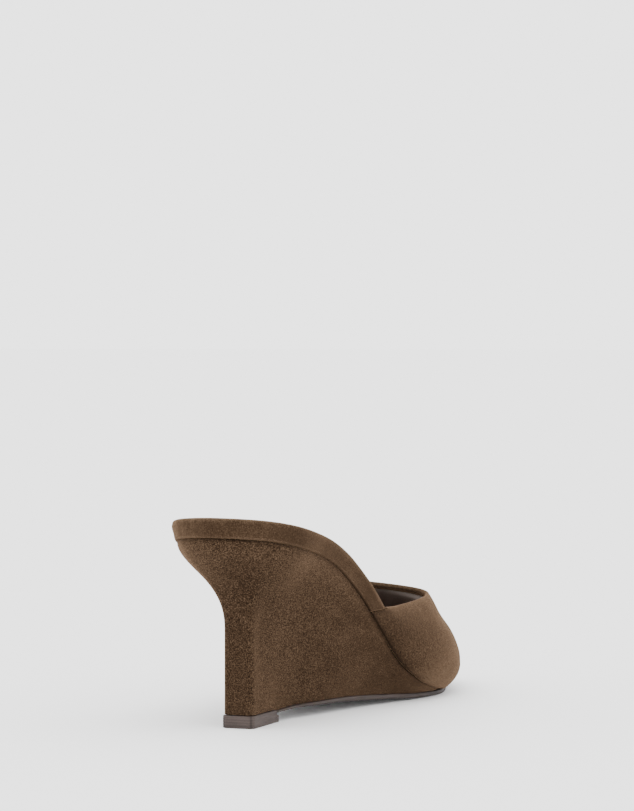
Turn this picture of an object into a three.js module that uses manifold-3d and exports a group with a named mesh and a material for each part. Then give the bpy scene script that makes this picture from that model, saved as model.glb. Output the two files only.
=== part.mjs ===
// Wedge mule for the right foot, in millimetres.
// X points to the outer side of the foot, Y to the toe and Z up.
// The origin is the middle of the heel tip's underside, on the floor.
// Stations are distances along the floor from the back of the seat towards the toe.

import * as THREE from 'three';
import { mergeVertices } from 'three/addons/utils/BufferGeometryUtils.js';
import Module from 'manifold-3d';

// Driving sizes of the last
const SOLE_LENGTH = 217; // feather line, from the back of the seat to the toe, along the floor
const BALL_WIDTH = 71; // feather line across the ball of the foot
const HEEL_HEIGHT = 75; // floor to the feather line at the back of the seat
const TOE_SPRING = 6; // lift of the toe above the ball
const BALL_STATION = 155; // where the sole first touches the floor behind the ball
const SPRING_STATION = 172; // where the toe spring begins
const SPINE_MARGIN = 19; // distance of the flat pieces' inner spine from heel and toe

// Driving sizes of the upper
const UPPER_WALL = 1.8;
const THROAT_STATION = 164.5; // middle of the throat
const THROAT_HEIGHT = 46.4; // floor to the topline at the middle of the throat
const SEAM_STATION = 90.5; // foot of the seam between the upper and the footbed's wrapped edge
const SEAM_TOP_OFFSET = 5.5; // how far forward the top of that seam is
const RIM_ROUND = 0.6; // how far the folded topline stands over the wall

// Driving sizes of the footbed
const BAND_THICKNESS = 7.7; // wrapped edge of the footbed at the heel
const FOREPART_THICKNESS = 4.6; // footbed inside the upper
const BAND_OUTSET = 1.8; // how far the wrapped edge leans out from the feather line
const INSOLE_THICKNESS = 1;
const INSOLE_MARGIN = 3.2; // insole's edge from the footbed's edge
const INSOLE_SINK = 0.3; // insole's face below the footbed's rim
const INSOLE_CLEARANCE = 0.6; // around the insole's edge
const INSOLE_EASE_LENGTH = 40; // distance behind the seam in which the insole narrows
const REBATE_TOP_GAP = 1.2; // more room at the top of the forepart, where the upper leans in

// Driving sizes of the wedge, outsole and heel tip
const WEDGE_TOP_OFFSET = 0.7; // wedge's top edge behind the footbed's lower edge
const WEDGE_REAR = 21; // station of the wedge's rear face at the floor end
const WEDGE_CORNER_RADIUS = 2.4; // radius of the two rear corners
const WEDGE_FRONT = 154; // station of the wedge's thin front edge
const WEDGE_FOLLOW_LENGTH = 20; // distance in which the lower edge comes to run beside the upper one
const WEDGE_SPREAD_LENGTH = 60; // distance in which the lower edge comes out beside the outsole's edge
const OUTSOLE_THICKNESS = 2;
const OUTSOLE_REAR_THICKNESS = 1; // skived where it meets the heel tip
const OUTSOLE_SKIVE_LENGTH = 50; // distance in which the outsole thins towards its rear end
const OUTSOLE_LEDGE = 0.5; // outsole and heel tip beyond the wedge's lower edge
const OUTSOLE_SETBACK = 1.5; // outsole's toe behind the feather line's toe
const ARCH_HEIGHT = 5; // underside of the outsole above the floor at the waist
const TIP_LENGTH = 25.7;
const TIP_WIDTH = 13.5;
const TIP_THICKNESS = 4.9;
const TIP_LIP_LENGTH = 2; // lower front lip, under the end of the outsole
const TIP_LIP_THICKNESS = 2.8;
const FIT_GAP = 0.3; // between pieces that meet
const SEAM_GAP = 0.5; // between the upper's rear edge and the footbed's, along the floor

// Places that follow from the sizes
const TIP_REAR = WEDGE_REAR - OUTSOLE_LEDGE;
const TIP_FRONT = TIP_REAR + TIP_LENGTH;
const ORIGIN_STATION = (TIP_REAR + TIP_FRONT) / 2;
const OUTSOLE_REAR = TIP_FRONT - TIP_LIP_LENGTH + FIT_GAP;
const OUTSOLE_FRONT = SOLE_LENGTH - OUTSOLE_SETBACK;
const FOREPART_HEIGHT = OUTSOLE_THICKNESS + FIT_GAP;
const HALF_BALL = BALL_WIDTH / 2;
const RECESS = INSOLE_THICKNESS + FIT_GAP + INSOLE_SINK; // in the footbed's top, for the insole
const REBATE = UPPER_WALL + FIT_GAP; // room for the upper's wall around the footbed's forepart
const SLOPE_STEP = SOLE_LENGTH / 434; // half the length over which the seat's slope is read

// Mesh fineness
const COLUMNS_BEHIND_SEAM = 22;
const COLUMNS_AHEAD_OF_SEAM = 22;
const COLUMNS = 46;
const WEDGE_LEVELS = 14;
const UPPER_COLUMNS = 24; // from the seam to the toe, on each side
const UPPER_ROWS = 11;

// Feather line in plan. Turn runs from 0 at the heel to 1 at the toe as on a half circle.
// Breadth times the sine of that turn is the half width, and drift is the middle's offset
// to the outer side, both as shares of half the ball width.
const FEATHER_PLAN = [
  { turn: 0.0, breadth: 1.3, drift: -0.037 },
  { turn: 0.1, breadth: 1.285, drift: -0.037 },
  { turn: 0.2, breadth: 1.19, drift: -0.036 },
  { turn: 0.3, breadth: 0.91, drift: -0.02 },
  { turn: 0.4, breadth: 0.765, drift: 0.035 },
  { turn: 0.5, breadth: 0.808, drift: 0.058 },
  { turn: 0.6, breadth: 1.034, drift: 0.023 },
  { turn: 0.7, breadth: 1.138, drift: -0.028 },
  { turn: 0.8, breadth: 1.132, drift: -0.065 },
  { turn: 0.9, breadth: 1.155, drift: -0.082 },
  { turn: 1.0, breadth: 1.183, drift: -0.085 },
];

// Feather line from the side. Station is a share of the sole's length and height a share
// of the seat's height above the forepart.
const FEATHER_PROFILE = [
  { station: 0.0, height: 1.0 },
  { station: 0.055, height: 0.977 },
  { station: 0.129, height: 0.931 },
  { station: 0.212, height: 0.876 },
  { station: 0.295, height: 0.784 },
  { station: 0.378, height: 0.624 },
  { station: 0.461, height: 0.403 },
  { station: 0.544, height: 0.194 },
  { station: 0.627, height: 0.069 },
  { station: 0.7, height: 0.018 },
  { station: 0.76, height: 0.0 },
  { station: 1.0, height: 0.0 },
];

// Outsole in plan. Turn runs from 0 at the straight rear end to 1 at the toe as on a quarter
// circle. Breadth times the cosine of that turn is the half width.
const OUTSOLE_PLAN = [
  { turn: 0.0, breadth: 0.195, drift: 0.0 },
  { turn: 0.05, breadth: 0.265, drift: 0.003 },
  { turn: 0.1, breadth: 0.385, drift: 0.01 },
  { turn: 0.2, breadth: 0.549, drift: 0.025 },
  { turn: 0.3, breadth: 0.792, drift: 0.034 },
  { turn: 0.4, breadth: 1.096, drift: 0.011 },
  { turn: 0.5, breadth: 1.315, drift: -0.014 },
  { turn: 0.6, breadth: 1.365, drift: -0.035 },
  { turn: 0.7, breadth: 1.35, drift: -0.058 },
  { turn: 0.85, breadth: 1.4, drift: -0.078 },
  { turn: 1.0, breadth: 1.46, drift: -0.085 },
];

// Underside of the outsole behind the ball. Back is the share of the way from the ball to
// the outsole's rear end, rise the share of the arch's rise.
const ARCH_PROFILE = [
  { back: 0.0, rise: 0.0 },
  { back: 0.17, rise: 0.16 },
  { back: 0.335, rise: 0.46 },
  { back: 0.5, rise: 0.72 },
  { back: 0.68, rise: 0.95 },
  { back: 0.86, rise: 1.0 },
  { back: 1.0, rise: 0.8 },
];

// Footbed's edge from its lower to its upper side. Rise is a share of the thickness and
// out a share of the band's outset.
const BAND_SECTION = [
  { rise: 0.0, out: -0.35 },
  { rise: 0.07, out: 0.0 },
  { rise: 0.4, out: 0.58 },
  { rise: 0.7, out: 1.0 },
  { rise: 0.88, out: 0.85 },
  { rise: 0.97, out: 0.1 },
  { rise: 1.0, out: -1.1 },
];

// Sections of the upper. Turn runs from 0 at the side seam to 1 at the toe, topline is the
// place on the topline that the section reaches, and the rest are how far the section's two
// bends stand out and up from its straight chord, as shares of half the ball width.
const UPPER_SECTIONS = [
  { turn: 0.0, topline: 0.0, lowOut: 0.0, lowUp: 0.0, highOut: 0.0, highUp: 0.0 },
  { turn: 0.1, topline: 0.06, lowOut: 0.14, lowUp: 0.0, highOut: 0.1, highUp: 0.0 },
  { turn: 0.2, topline: 0.17, lowOut: 0.26, lowUp: -0.06, highOut: 0.17, highUp: 0.0 },
  { turn: 0.3, topline: 0.34, lowOut: 0.34, lowUp: -0.12, highOut: 0.22, highUp: 0.0 },
  { turn: 0.4, topline: 0.49, lowOut: 0.41, lowUp: -0.14, highOut: 0.2, highUp: 0.0 },
  { turn: 0.5, topline: 0.63, lowOut: 0.47, lowUp: -0.14, highOut: 0.18, highUp: 0.0 },
  { turn: 0.6, topline: 0.72, lowOut: 0.53, lowUp: -0.14, highOut: 0.18, highUp: 0.0 },
  { turn: 0.8, topline: 0.87, lowOut: 0.7, lowUp: -0.12, highOut: 0.2, highUp: 0.0 },
  { turn: 1.0, topline: 1.0, lowOut: 0.84, lowUp: -0.08, highOut: 0.2, highUp: 0.0 },
];
const FOOT_LEVELLING = 0.15; // share of the height in which the wall comes to stand upright
const SEAM_BLEND = 0.12; // share of the way to the toe in which the seam's stretch ends
const TOPLINE_CORNER = 1.14; // fullness of the throat's two corners
const TOPLINE_CLIMB = 1.35; // how late the topline rises towards the throat's middle

// Flare of the wedge towards the seat. Heel is the share of the strongly hollowed rear form
// in the wedge's side, at a station given as a share of the sole's length.
const WEDGE_FLARE = [
  { station: 0.0, heel: 1.0 },
  { station: 0.08, heel: 1.0 },
  { station: 0.18, heel: 0.7 },
  { station: 0.28, heel: 0.3 },
  { station: 0.42, heel: 0.0 },
  { station: 1.0, heel: 0.0 },
];
const FLARE_START = 0.457; // share of the wedge's height where the rear form leaves the upright
const FLARE_POWER = 1.45;
const SIDE_POWER = 1.25; // hollow of the wedge's side ahead of the seat
const WEDGE_FACE_TURN = 0.105; // place on the heel's round that the rear face's side reaches
const WEDGE_CORNER_TURN = 0.15; // place on the heel's round that the rear corner reaches

// Smooth curve through the rows of a table that never overshoots them.
function curveThrough(rows, from, to) {
  const xs = rows.map((row) => row[from]);
  const ys = rows.map((row) => row[to]);
  const last = xs.length - 1;
  const slopes = [];
  for (let i = 0; i < last; i += 1) {
    slopes.push((ys[i + 1] - ys[i]) / (xs[i + 1] - xs[i]));
  }
  const tangents = xs.map((x, i) => {
    if (i === 0) {
      return slopes[0];
    }
    if (i === last) {
      return slopes[last - 1];
    }
    const before = slopes[i - 1];
    const after = slopes[i];
    return before * after <= 0 ? 0 : (2 * before * after) / (before + after);
  });
  return (x) => {
    const at = THREE.MathUtils.clamp(x, xs[0], xs[last]);
    let i = 0;
    while (i < last - 1 && at > xs[i + 1]) {
      i += 1;
    }
    const span = xs[i + 1] - xs[i];
    const t = (at - xs[i]) / span;
    const rise = ys[i] * (1 + 2 * t) * (1 - t) ** 2 + ys[i + 1] * t * t * (3 - 2 * t);
    return rise + span * t * (1 - t) * (tangents[i] * (1 - t) - tangents[i + 1] * t);
  };
}

const featherBreadth = curveThrough(FEATHER_PLAN, 'turn', 'breadth');
const featherDrift = curveThrough(FEATHER_PLAN, 'turn', 'drift');
const featherHeight = curveThrough(FEATHER_PROFILE, 'station', 'height');
const outsoleBreadth = curveThrough(OUTSOLE_PLAN, 'turn', 'breadth');
const outsoleDrift = curveThrough(OUTSOLE_PLAN, 'turn', 'drift');
const archRise = curveThrough(ARCH_PROFILE, 'back', 'rise');
const wedgeHeelShare = curveThrough(WEDGE_FLARE, 'station', 'heel');
const upperCurves = Object.fromEntries(
  ['topline', 'lowOut', 'lowUp', 'highOut', 'highUp'].map((name) => [
    name,
    curveThrough(UPPER_SECTIONS, 'turn', name),
  ]),
);

// Last: plan, height and slope of the feather line

function stationAt(turn) {
  return (SOLE_LENGTH * (1 - Math.cos(Math.PI * turn))) / 2;
}

function turnAt(station) {
  return Math.acos(1 - (2 * station) / SOLE_LENGTH) / Math.PI;
}

function featherPlan(turn, side) {
  const half = featherBreadth(turn) * Math.sin(Math.PI * turn);
  return [HALF_BALL * (side * half + featherDrift(turn)), stationAt(turn)];
}

// Outward direction of the feather line in plan.
function featherNormal(turn, side) {
  const step = 1e-4;
  const low = Math.max(turn - step, 0);
  const high = Math.min(turn + step, 1);
  const [xLow, yLow] = featherPlan(low, side);
  const [xHigh, yHigh] = featherPlan(high, side);
  if (low === 0 || high === 1) {
    return [0, low === 0 ? -1 : 1];
  }
  const length = Math.hypot(xHigh - xLow, yHigh - yLow);
  return [(side * (yHigh - yLow)) / length, (-side * (xHigh - xLow)) / length];
}

function toeSpring(station) {
  const share = Math.max(station - SPRING_STATION, 0) / (SOLE_LENGTH - SPRING_STATION);
  return TOE_SPRING * share ** 2;
}

function featherZ(station) {
  const rise = (HEEL_HEIGHT - FOREPART_HEIGHT) * featherHeight(station / SOLE_LENGTH);
  return FOREPART_HEIGHT + rise + toeSpring(station);
}

// Point at a height square to the seat's surface, over a place in plan.
function seatPoint(x, station, height) {
  const rise = featherZ(station + SLOPE_STEP) - featherZ(station - SLOPE_STEP);
  const slope = rise / (2 * SLOPE_STEP);
  const length = Math.hypot(slope, 1);
  const shift = (-slope / length) * height;
  return [x, station + shift, featherZ(station) + height / length];
}

function offsetPlan(turn, side, out) {
  const [x, station] = featherPlan(turn, side);
  const [nx, ny] = featherNormal(turn, side);
  return [x + nx * out, station + ny * out];
}

// Inner line of a flat piece, on which its two sides meet, beside a station of its edge.
function spinePlan(station) {
  const held = THREE.MathUtils.clamp(station, SPINE_MARGIN, SOLE_LENGTH - SPINE_MARGIN);
  return [HALF_BALL * featherDrift(turnAt(held)), held];
}

// Meshes

function toGeometry(positions, triangles) {
  const geometry = new THREE.BufferGeometry();
  const shifted = positions.map(([x, station, z]) => [x, station - ORIGIN_STATION, z]);
  geometry.setAttribute('position', new THREE.Float32BufferAttribute(shifted.flat(), 3));
  geometry.setIndex(triangles.flat());
  const merged = mergeVertices(geometry, 1e-4);
  const index = merged.index.array;
  const kept = [];
  for (let i = 0; i < index.length; i += 3) {
    const [a, b, c] = [index[i], index[i + 1], index[i + 2]];
    if (a !== b && b !== c && c !== a) {
      kept.push(a, b, c);
    }
  }
  merged.setIndex(kept);
  merged.computeVertexNormals();
  return merged;
}

// Closed body from rings that run outer side, toe, inner side, from the lowest to the highest.
// The first and last rings are folded flat onto a spine.
function ringBody(rings) {
  const count = rings[0].length;
  const triangles = [];
  for (let level = 0; level < rings.length - 1; level += 1) {
    for (let i = 0; i < count; i += 1) {
      const next = (i + 1) % count;
      const a = level * count + i;
      const b = level * count + next;
      const c = (level + 1) * count + next;
      const d = (level + 1) * count + i;
      triangles.push([a, b, c], [a, c, d]);
    }
  }
  return toGeometry(rings.flat(), triangles);
}

// Ring of points from a function of column and side, with one point at each end.
function ring(columns, pointAt) {
  const outer = [];
  const inner = [];
  for (let i = 0; i <= columns; i += 1) {
    outer.push(pointAt(i, 1));
  }
  for (let i = columns - 1; i > 0; i -= 1) {
    inner.push(pointAt(i, -1));
  }
  return [...outer, ...inner];
}

// Footbed

const FOOTBED_COLUMNS = COLUMNS_BEHIND_SEAM + 1 + COLUMNS_AHEAD_OF_SEAM;

function seamTurn(rise) {
  return turnAt(SEAM_STATION + SEAM_TOP_OFFSET * rise);
}

function footbedColumn(column, rise) {
  const seam = seamTurn(rise);
  if (column <= COLUMNS_BEHIND_SEAM) {
    return { turn: (seam * column) / COLUMNS_BEHIND_SEAM, ahead: false };
  }
  const share = (column - COLUMNS_BEHIND_SEAM - 1) / COLUMNS_AHEAD_OF_SEAM;
  return { turn: seam + (1 - seam) * share, ahead: true };
}

function footbedThickness(turn) {
  const share = THREE.MathUtils.smoothstep(turn, seamTurn(1), turnAt(BALL_STATION));
  return BAND_THICKNESS + (FOREPART_THICKNESS - BAND_THICKNESS) * share;
}

function footbedEdge(turn, side, ahead, { rise, out }) {
  const forepartInset = REBATE + REBATE_TOP_GAP * rise + Math.max(-out, 0) * BAND_OUTSET;
  const inward = ahead ? forepartInset : -out * BAND_OUTSET;
  const [x, station] = offsetPlan(turn, side, -inward);
  return seatPoint(x, station, rise * footbedThickness(turn));
}

function footbedSpine(turn, height) {
  const [x, station] = spinePlan(stationAt(turn));
  return seatPoint(x, station, height);
}

// Distance of the insole's edge from the feather line.
function insoleInset(turn) {
  const start = SEAM_STATION - INSOLE_EASE_LENGTH;
  const ahead = THREE.MathUtils.smoothstep(stationAt(turn), start, SEAM_STATION);
  return INSOLE_MARGIN + ahead * (REBATE + REBATE_TOP_GAP);
}

function makeFootbed() {
  const lower = ring(FOOTBED_COLUMNS, (column) => {
    const { turn } = footbedColumn(column, 0);
    return footbedSpine(turn, 0);
  });
  const edges = BAND_SECTION.map((row) =>
    ring(FOOTBED_COLUMNS, (column, side) => {
      const { turn, ahead } = footbedColumn(column, row.rise);
      return footbedEdge(turn, side, ahead, row);
    }),
  );
  const recessEdge = (height) =>
    ring(FOOTBED_COLUMNS, (column, side) => {
      const { turn } = footbedColumn(column, 1);
      const [x, station] = offsetPlan(turn, side, -insoleInset(turn) + INSOLE_CLEARANCE);
      return seatPoint(x, station, footbedThickness(turn) + height);
    });
  const upper = ring(FOOTBED_COLUMNS, (column) => {
    const { turn } = footbedColumn(column, 1);
    return footbedSpine(turn, footbedThickness(turn) - RECESS);
  });
  return ringBody([lower, ...edges, recessEdge(0), recessEdge(-RECESS), upper]);
}

// Insole: thin sock on the footbed

function makeInsole() {
  const turnOf = (column) => column / COLUMNS;
  const edge = (height, inward) =>
    ring(COLUMNS, (column, side) => {
      const turn = turnOf(column);
      const [x, station] = offsetPlan(turn, side, -insoleInset(turn) - inward);
      return seatPoint(x, station, footbedThickness(turn) + height);
    });
  const spine = (height) =>
    ring(COLUMNS, (column) => footbedSpine(turnOf(column), footbedThickness(turnOf(column)) + height));
  const under = FIT_GAP - RECESS;
  return ringBody([
    spine(under),
    edge(under, 0),
    edge(-INSOLE_SINK - INSOLE_THICKNESS / 4, 0),
    edge(-INSOLE_SINK, INSOLE_THICKNESS / 2),
    spine(-INSOLE_SINK),
  ]);
}

// Outsole

function outsoleTurn(station) {
  const share = (station - OUTSOLE_REAR) / (OUTSOLE_FRONT - OUTSOLE_REAR);
  return (2 / Math.PI) * Math.asin(THREE.MathUtils.clamp(share, 0, 1));
}

function outsolePlan(turn, side) {
  const station = OUTSOLE_REAR + (OUTSOLE_FRONT - OUTSOLE_REAR) * Math.sin((Math.PI * turn) / 2);
  const half = outsoleBreadth(turn) * Math.cos((Math.PI * turn) / 2);
  return [HALF_BALL * (side * half + outsoleDrift(turn)), station];
}

function outsoleUnderside(station) {
  const back = (BALL_STATION - station) / (BALL_STATION - OUTSOLE_REAR);
  return ARCH_HEIGHT * archRise(back) + toeSpring(station);
}

function outsoleTop(station) {
  const share = THREE.MathUtils.smoothstep(station, OUTSOLE_REAR, OUTSOLE_REAR + OUTSOLE_SKIVE_LENGTH);
  const thickness = OUTSOLE_REAR_THICKNESS + (OUTSOLE_THICKNESS - OUTSOLE_REAR_THICKNESS) * share;
  return outsoleUnderside(station) + thickness;
}

function makeOutsole() {
  // Columns 0 and 1 are the rear end's middle and corner, the rest run to the toe.
  const planAt = (column, side) =>
    column === 0 ? [0, OUTSOLE_REAR] : outsolePlan((column - 1) / (COLUMNS - 1), side);
  const spineAt = (column) => {
    const [, station] = planAt(column, 1);
    return Math.min(station, OUTSOLE_FRONT - SPINE_MARGIN);
  };
  const edge = (heightAt) =>
    ring(COLUMNS, (column, side) => {
      const [x, station] = planAt(column, side);
      return [x, station, heightAt(station)];
    });
  const spine = (heightAt) =>
    ring(COLUMNS, (column) => {
      const station = spineAt(column);
      return [HALF_BALL * outsoleDrift(outsoleTurn(station)), station, heightAt(station)];
    });
  return ringBody([spine(outsoleUnderside), edge(outsoleUnderside), edge(outsoleTop), spine(outsoleTop)]);
}

// Wedge

// Lower edge of the wedge beside a place on its upper edge.
function wedgeFoot(turn, side) {
  const half = TIP_WIDTH / 2 - OUTSOLE_LEDGE;
  const flat = half - WEDGE_CORNER_RADIUS;
  if (turn <= WEDGE_FACE_TURN) {
    return [(side * flat * turn) / WEDGE_FACE_TURN, WEDGE_REAR];
  }
  if (turn <= WEDGE_CORNER_TURN) {
    const share = (turn - WEDGE_FACE_TURN) / (WEDGE_CORNER_TURN - WEDGE_FACE_TURN);
    const angle = (Math.PI / 2) * share;
    const x = flat + WEDGE_CORNER_RADIUS * Math.sin(angle);
    return [side * x, WEDGE_REAR + WEDGE_CORNER_RADIUS * (1 - Math.cos(angle))];
  }
  const start = stationAt(WEDGE_CORNER_TURN);
  const lag = WEDGE_REAR + WEDGE_CORNER_RADIUS - start;
  const ahead = stationAt(turn) - start;
  const station = stationAt(turn) + lag * Math.exp(-ahead / WEDGE_FOLLOW_LENGTH);
  const onSole = side * outsolePlan(outsoleTurn(station), side)[0] - OUTSOLE_LEDGE;
  const corner = WEDGE_REAR + WEDGE_CORNER_RADIUS;
  const spread = THREE.MathUtils.smoothstep(station, corner, corner + WEDGE_SPREAD_LENGTH);
  return [side * (half + (onSole - half) * spread), station];
}

function wedgeUnderside(station) {
  const onTip = TIP_THICKNESS + FIT_GAP;
  const ahead = THREE.MathUtils.smoothstep(station, OUTSOLE_REAR - 2 * FIT_GAP, OUTSOLE_REAR);
  return onTip + (outsoleTop(station) + FIT_GAP - onTip) * ahead;
}

// Share of the way from the lower edge out to the upper edge, at a share of the height.
function wedgeFlare(level, station) {
  const past = Math.max(level - FLARE_START, 0) / (1 - FLARE_START);
  const eased = past ** FLARE_POWER;
  const rear = eased * eased * (3 - 2 * eased);
  const heel = wedgeHeelShare(station / SOLE_LENGTH);
  return heel * rear + (1 - heel) * level ** SIDE_POWER;
}

function makeWedge() {
  const frontTurn = turnAt(WEDGE_FRONT);
  const turnOf = (column) => frontTurn * Math.min(column / (COLUMNS - 1), 1);
  // The last column is the middle of the thin front edge.
  const keep = (column, x) => (column === COLUMNS ? HALF_BALL * featherDrift(frontTurn) : x);
  const topPoint = (column, side) => {
    const [x, station] = offsetPlan(turnOf(column), side, -WEDGE_TOP_OFFSET);
    return seatPoint(keep(column, x), Math.min(station, WEDGE_FRONT), -FIT_GAP);
  };
  const footPoint = (column, side) => {
    const [x, station] = wedgeFoot(turnOf(column), side);
    const held = Math.min(station, WEDGE_FRONT);
    return [keep(column, x), held, wedgeUnderside(held)];
  };
  const lower = ring(COLUMNS, (column) => {
    const [, footStation] = footPoint(column, 1);
    const [x, station] = spinePlan(Math.max(footStation, WEDGE_REAR + WEDGE_CORNER_RADIUS));
    return [x, station, wedgeUnderside(station)];
  });
  const upper = ring(COLUMNS, (column) => {
    const [x, station] = spinePlan(Math.min(stationAt(turnOf(column)), WEDGE_FRONT));
    return seatPoint(x, station, -FIT_GAP);
  });
  const levels = [];
  for (let row = 0; row <= WEDGE_LEVELS; row += 1) {
    const level = row / WEDGE_LEVELS;
    levels.push(
      ring(COLUMNS, (column, side) => {
        const top = topPoint(column, side);
        const foot = footPoint(column, side);
        const flare = wedgeFlare(level, top[1]);
        return [
          foot[0] + (top[0] - foot[0]) * flare,
          foot[1] + (top[1] - foot[1]) * flare,
          foot[2] + (top[2] - foot[2]) * level,
        ];
      }),
    );
  }
  return ringBody([lower, ...levels, upper]);
}

// Upper

// Top of the side seam, on the footbed's wrapped edge.
function seamTop(side) {
  const turn = turnAt(SEAM_STATION + SEAM_TOP_OFFSET + SEAM_GAP);
  const [x, station] = offsetPlan(turn, side, BAND_OUTSET);
  return seatPoint(x, station, BAND_THICKNESS);
}

// Topline from the side seam, 0, to the middle of the throat, 1.
function toplinePoint(place, side) {
  const [x, station, z] = seamTop(side);
  const middle = HALF_BALL * featherDrift(turnAt(THROAT_STATION));
  const curve = new THREE.CubicBezierCurve(
    new THREE.Vector2(x, station),
    new THREE.Vector2(x, THROAT_STATION),
    new THREE.Vector2(x * TOPLINE_CORNER, THROAT_STATION),
    new THREE.Vector2(middle, THROAT_STATION),
  );
  const plan = curve.getPoint(place);
  return [plan.x, plan.y, z + (THROAT_HEIGHT - z) * place ** TOPLINE_CLIMB];
}

// Outer face of the upper. Turn runs from the side seam to the toe, level from the feather
// line to the topline, and each section is one cubic curve between them.
function upperPoint(turn, side, level) {
  const start = turnAt(SEAM_STATION + SEAM_GAP);
  const featherTurn = start + (1 - start) * turn;
  const [x, station] = featherPlan(featherTurn, side);
  const [nx, ny] = featherNormal(featherTurn, side);
  const foot = seatPoint(x, station, 0);
  const top = toplinePoint(upperCurves.topline(turn), side);
  const bend = (share, out, up) => [
    foot[0] + (top[0] - foot[0]) * share + nx * out * HALF_BALL,
    foot[1] + (top[1] - foot[1]) * share + ny * out * HALF_BALL,
    foot[2] + (top[2] - foot[2]) * share + up * HALF_BALL,
  ];
  const low = bend(1 / 3, upperCurves.lowOut(turn), upperCurves.lowUp(turn));
  const high = bend(2 / 3, upperCurves.highOut(turn), upperCurves.highUp(turn));
  const curve = new THREE.CubicBezierCurve3(
    new THREE.Vector3(...foot),
    new THREE.Vector3(...low),
    new THREE.Vector3(...high),
    new THREE.Vector3(...top),
  );
  return curve.getPoint(level);
}

// Share of the upper's own directions in use, because at the side seam its two edges run
// almost in one line and the last's outward direction serves there.
function pastSeam(turn) {
  return THREE.MathUtils.smoothstep(turn, 0, SEAM_BLEND);
}

// Outward direction of the upper's outer face, level at the feather line.
function upperNormal(turn, side, level) {
  const step = 0.002;
  const turnLow = Math.max(turn - step, 0);
  const turnHigh = Math.min(turn + step, 1);
  const levelLow = Math.max(level - step, 0);
  const levelHigh = Math.min(level + step, 1);
  const along = upperPoint(turnHigh, side, level).sub(upperPoint(turnLow, side, level));
  if (turnHigh === 1) {
    along.set(-1, 0, 0).multiplyScalar(side);
  }
  const upward = upperPoint(turn, side, levelHigh).sub(upperPoint(turn, side, levelLow));
  const normal = along.cross(upward).multiplyScalar(side);
  normal.z *= Math.min(level / FOOT_LEVELLING, 1);
  const start = turnAt(SEAM_STATION + SEAM_GAP);
  const [nx, ny] = featherNormal(start + (1 - start) * turn, side);
  return new THREE.Vector3(nx, ny, 0).lerp(normal.normalize(), pastSeam(turn)).normalize();
}

function makeUpper() {
  const sections = [];
  const addSection = (turn, side) => {
    const outer = [];
    const inner = [];
    for (let row = 0; row <= UPPER_ROWS; row += 1) {
      const level = row / UPPER_ROWS;
      const point = upperPoint(turn, side, level);
      const normal = upperNormal(turn, side, level);
      outer.push(point.toArray());
      inner.push(point.clone().addScaledVector(normal, -UPPER_WALL).toArray());
    }
    const last = outer[UPPER_ROWS];
    const before = outer[UPPER_ROWS - 1];
    const edge = new THREE.Vector3(...last).sub(new THREE.Vector3(...before)).normalize();
    const upward = new THREE.Vector3(0, 0, 1).lerp(edge, pastSeam(turn)).normalize();
    const middle = new THREE.Vector3(...last).add(new THREE.Vector3(...inner[UPPER_ROWS]));
    const rim = middle.multiplyScalar(0.5).addScaledVector(upward, RIM_ROUND);
    sections.push({ outer, rim: rim.toArray(), inner });
  };
  for (let i = 0; i <= UPPER_COLUMNS; i += 1) {
    addSection(i / UPPER_COLUMNS, 1);
  }
  for (let i = UPPER_COLUMNS - 1; i >= 0; i -= 1) {
    addSection(i / UPPER_COLUMNS, -1);
  }
  const positions = [];
  for (const { outer, rim, inner } of sections) {
    positions.push(...outer, rim, ...inner.toReversed());
  }
  const count = 2 * UPPER_ROWS + 3;
  const triangles = [];
  for (let section = 0; section < sections.length - 1; section += 1) {
    for (let i = 0; i < count; i += 1) {
      const next = (i + 1) % count;
      const a = section * count + i;
      const b = (section + 1) * count + i;
      const c = (section + 1) * count + next;
      const d = section * count + next;
      triangles.push([a, b, c], [a, c, d]);
    }
  }
  // Faces of the two side seams
  const capSeam = (section, flip) => {
    const start = section * count;
    const push = (a, b, c) => triangles.push(flip ? [a, c, b] : [a, b, c]);
    for (let row = 0; row < UPPER_ROWS; row += 1) {
      const a = start + row;
      const b = start + row + 1;
      const c = start + count - 2 - row;
      const d = start + count - 1 - row;
      push(a, b, c);
      push(a, c, d);
    }
    push(start + UPPER_ROWS, start + UPPER_ROWS + 1, start + UPPER_ROWS + 2);
  };
  capSeam(0, false);
  capSeam(sections.length - 1, true);
  return toGeometry(positions, triangles);
}

// Heel tip

const wasm = await Module();
wasm.setup();

function toSolid(geometry) {
  const bare = geometry.clone();
  bare.deleteAttribute('normal');
  bare.deleteAttribute('uv');
  const merged = mergeVertices(bare, 1e-4);
  return new wasm.Manifold(
    new wasm.Mesh({
      numProp: 3,
      vertProperties: new Float32Array(merged.attributes.position.array),
      triVerts: new Uint32Array(merged.index.array),
    }),
  );
}

function fromSolid(solid) {
  const mesh = solid.getMesh();
  const geometry = new THREE.BufferGeometry();
  geometry.setAttribute('position', new THREE.BufferAttribute(mesh.vertProperties, 3));
  geometry.setIndex(new THREE.BufferAttribute(mesh.triVerts, 1));
  geometry.computeVertexNormals();
  return geometry;
}

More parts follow.
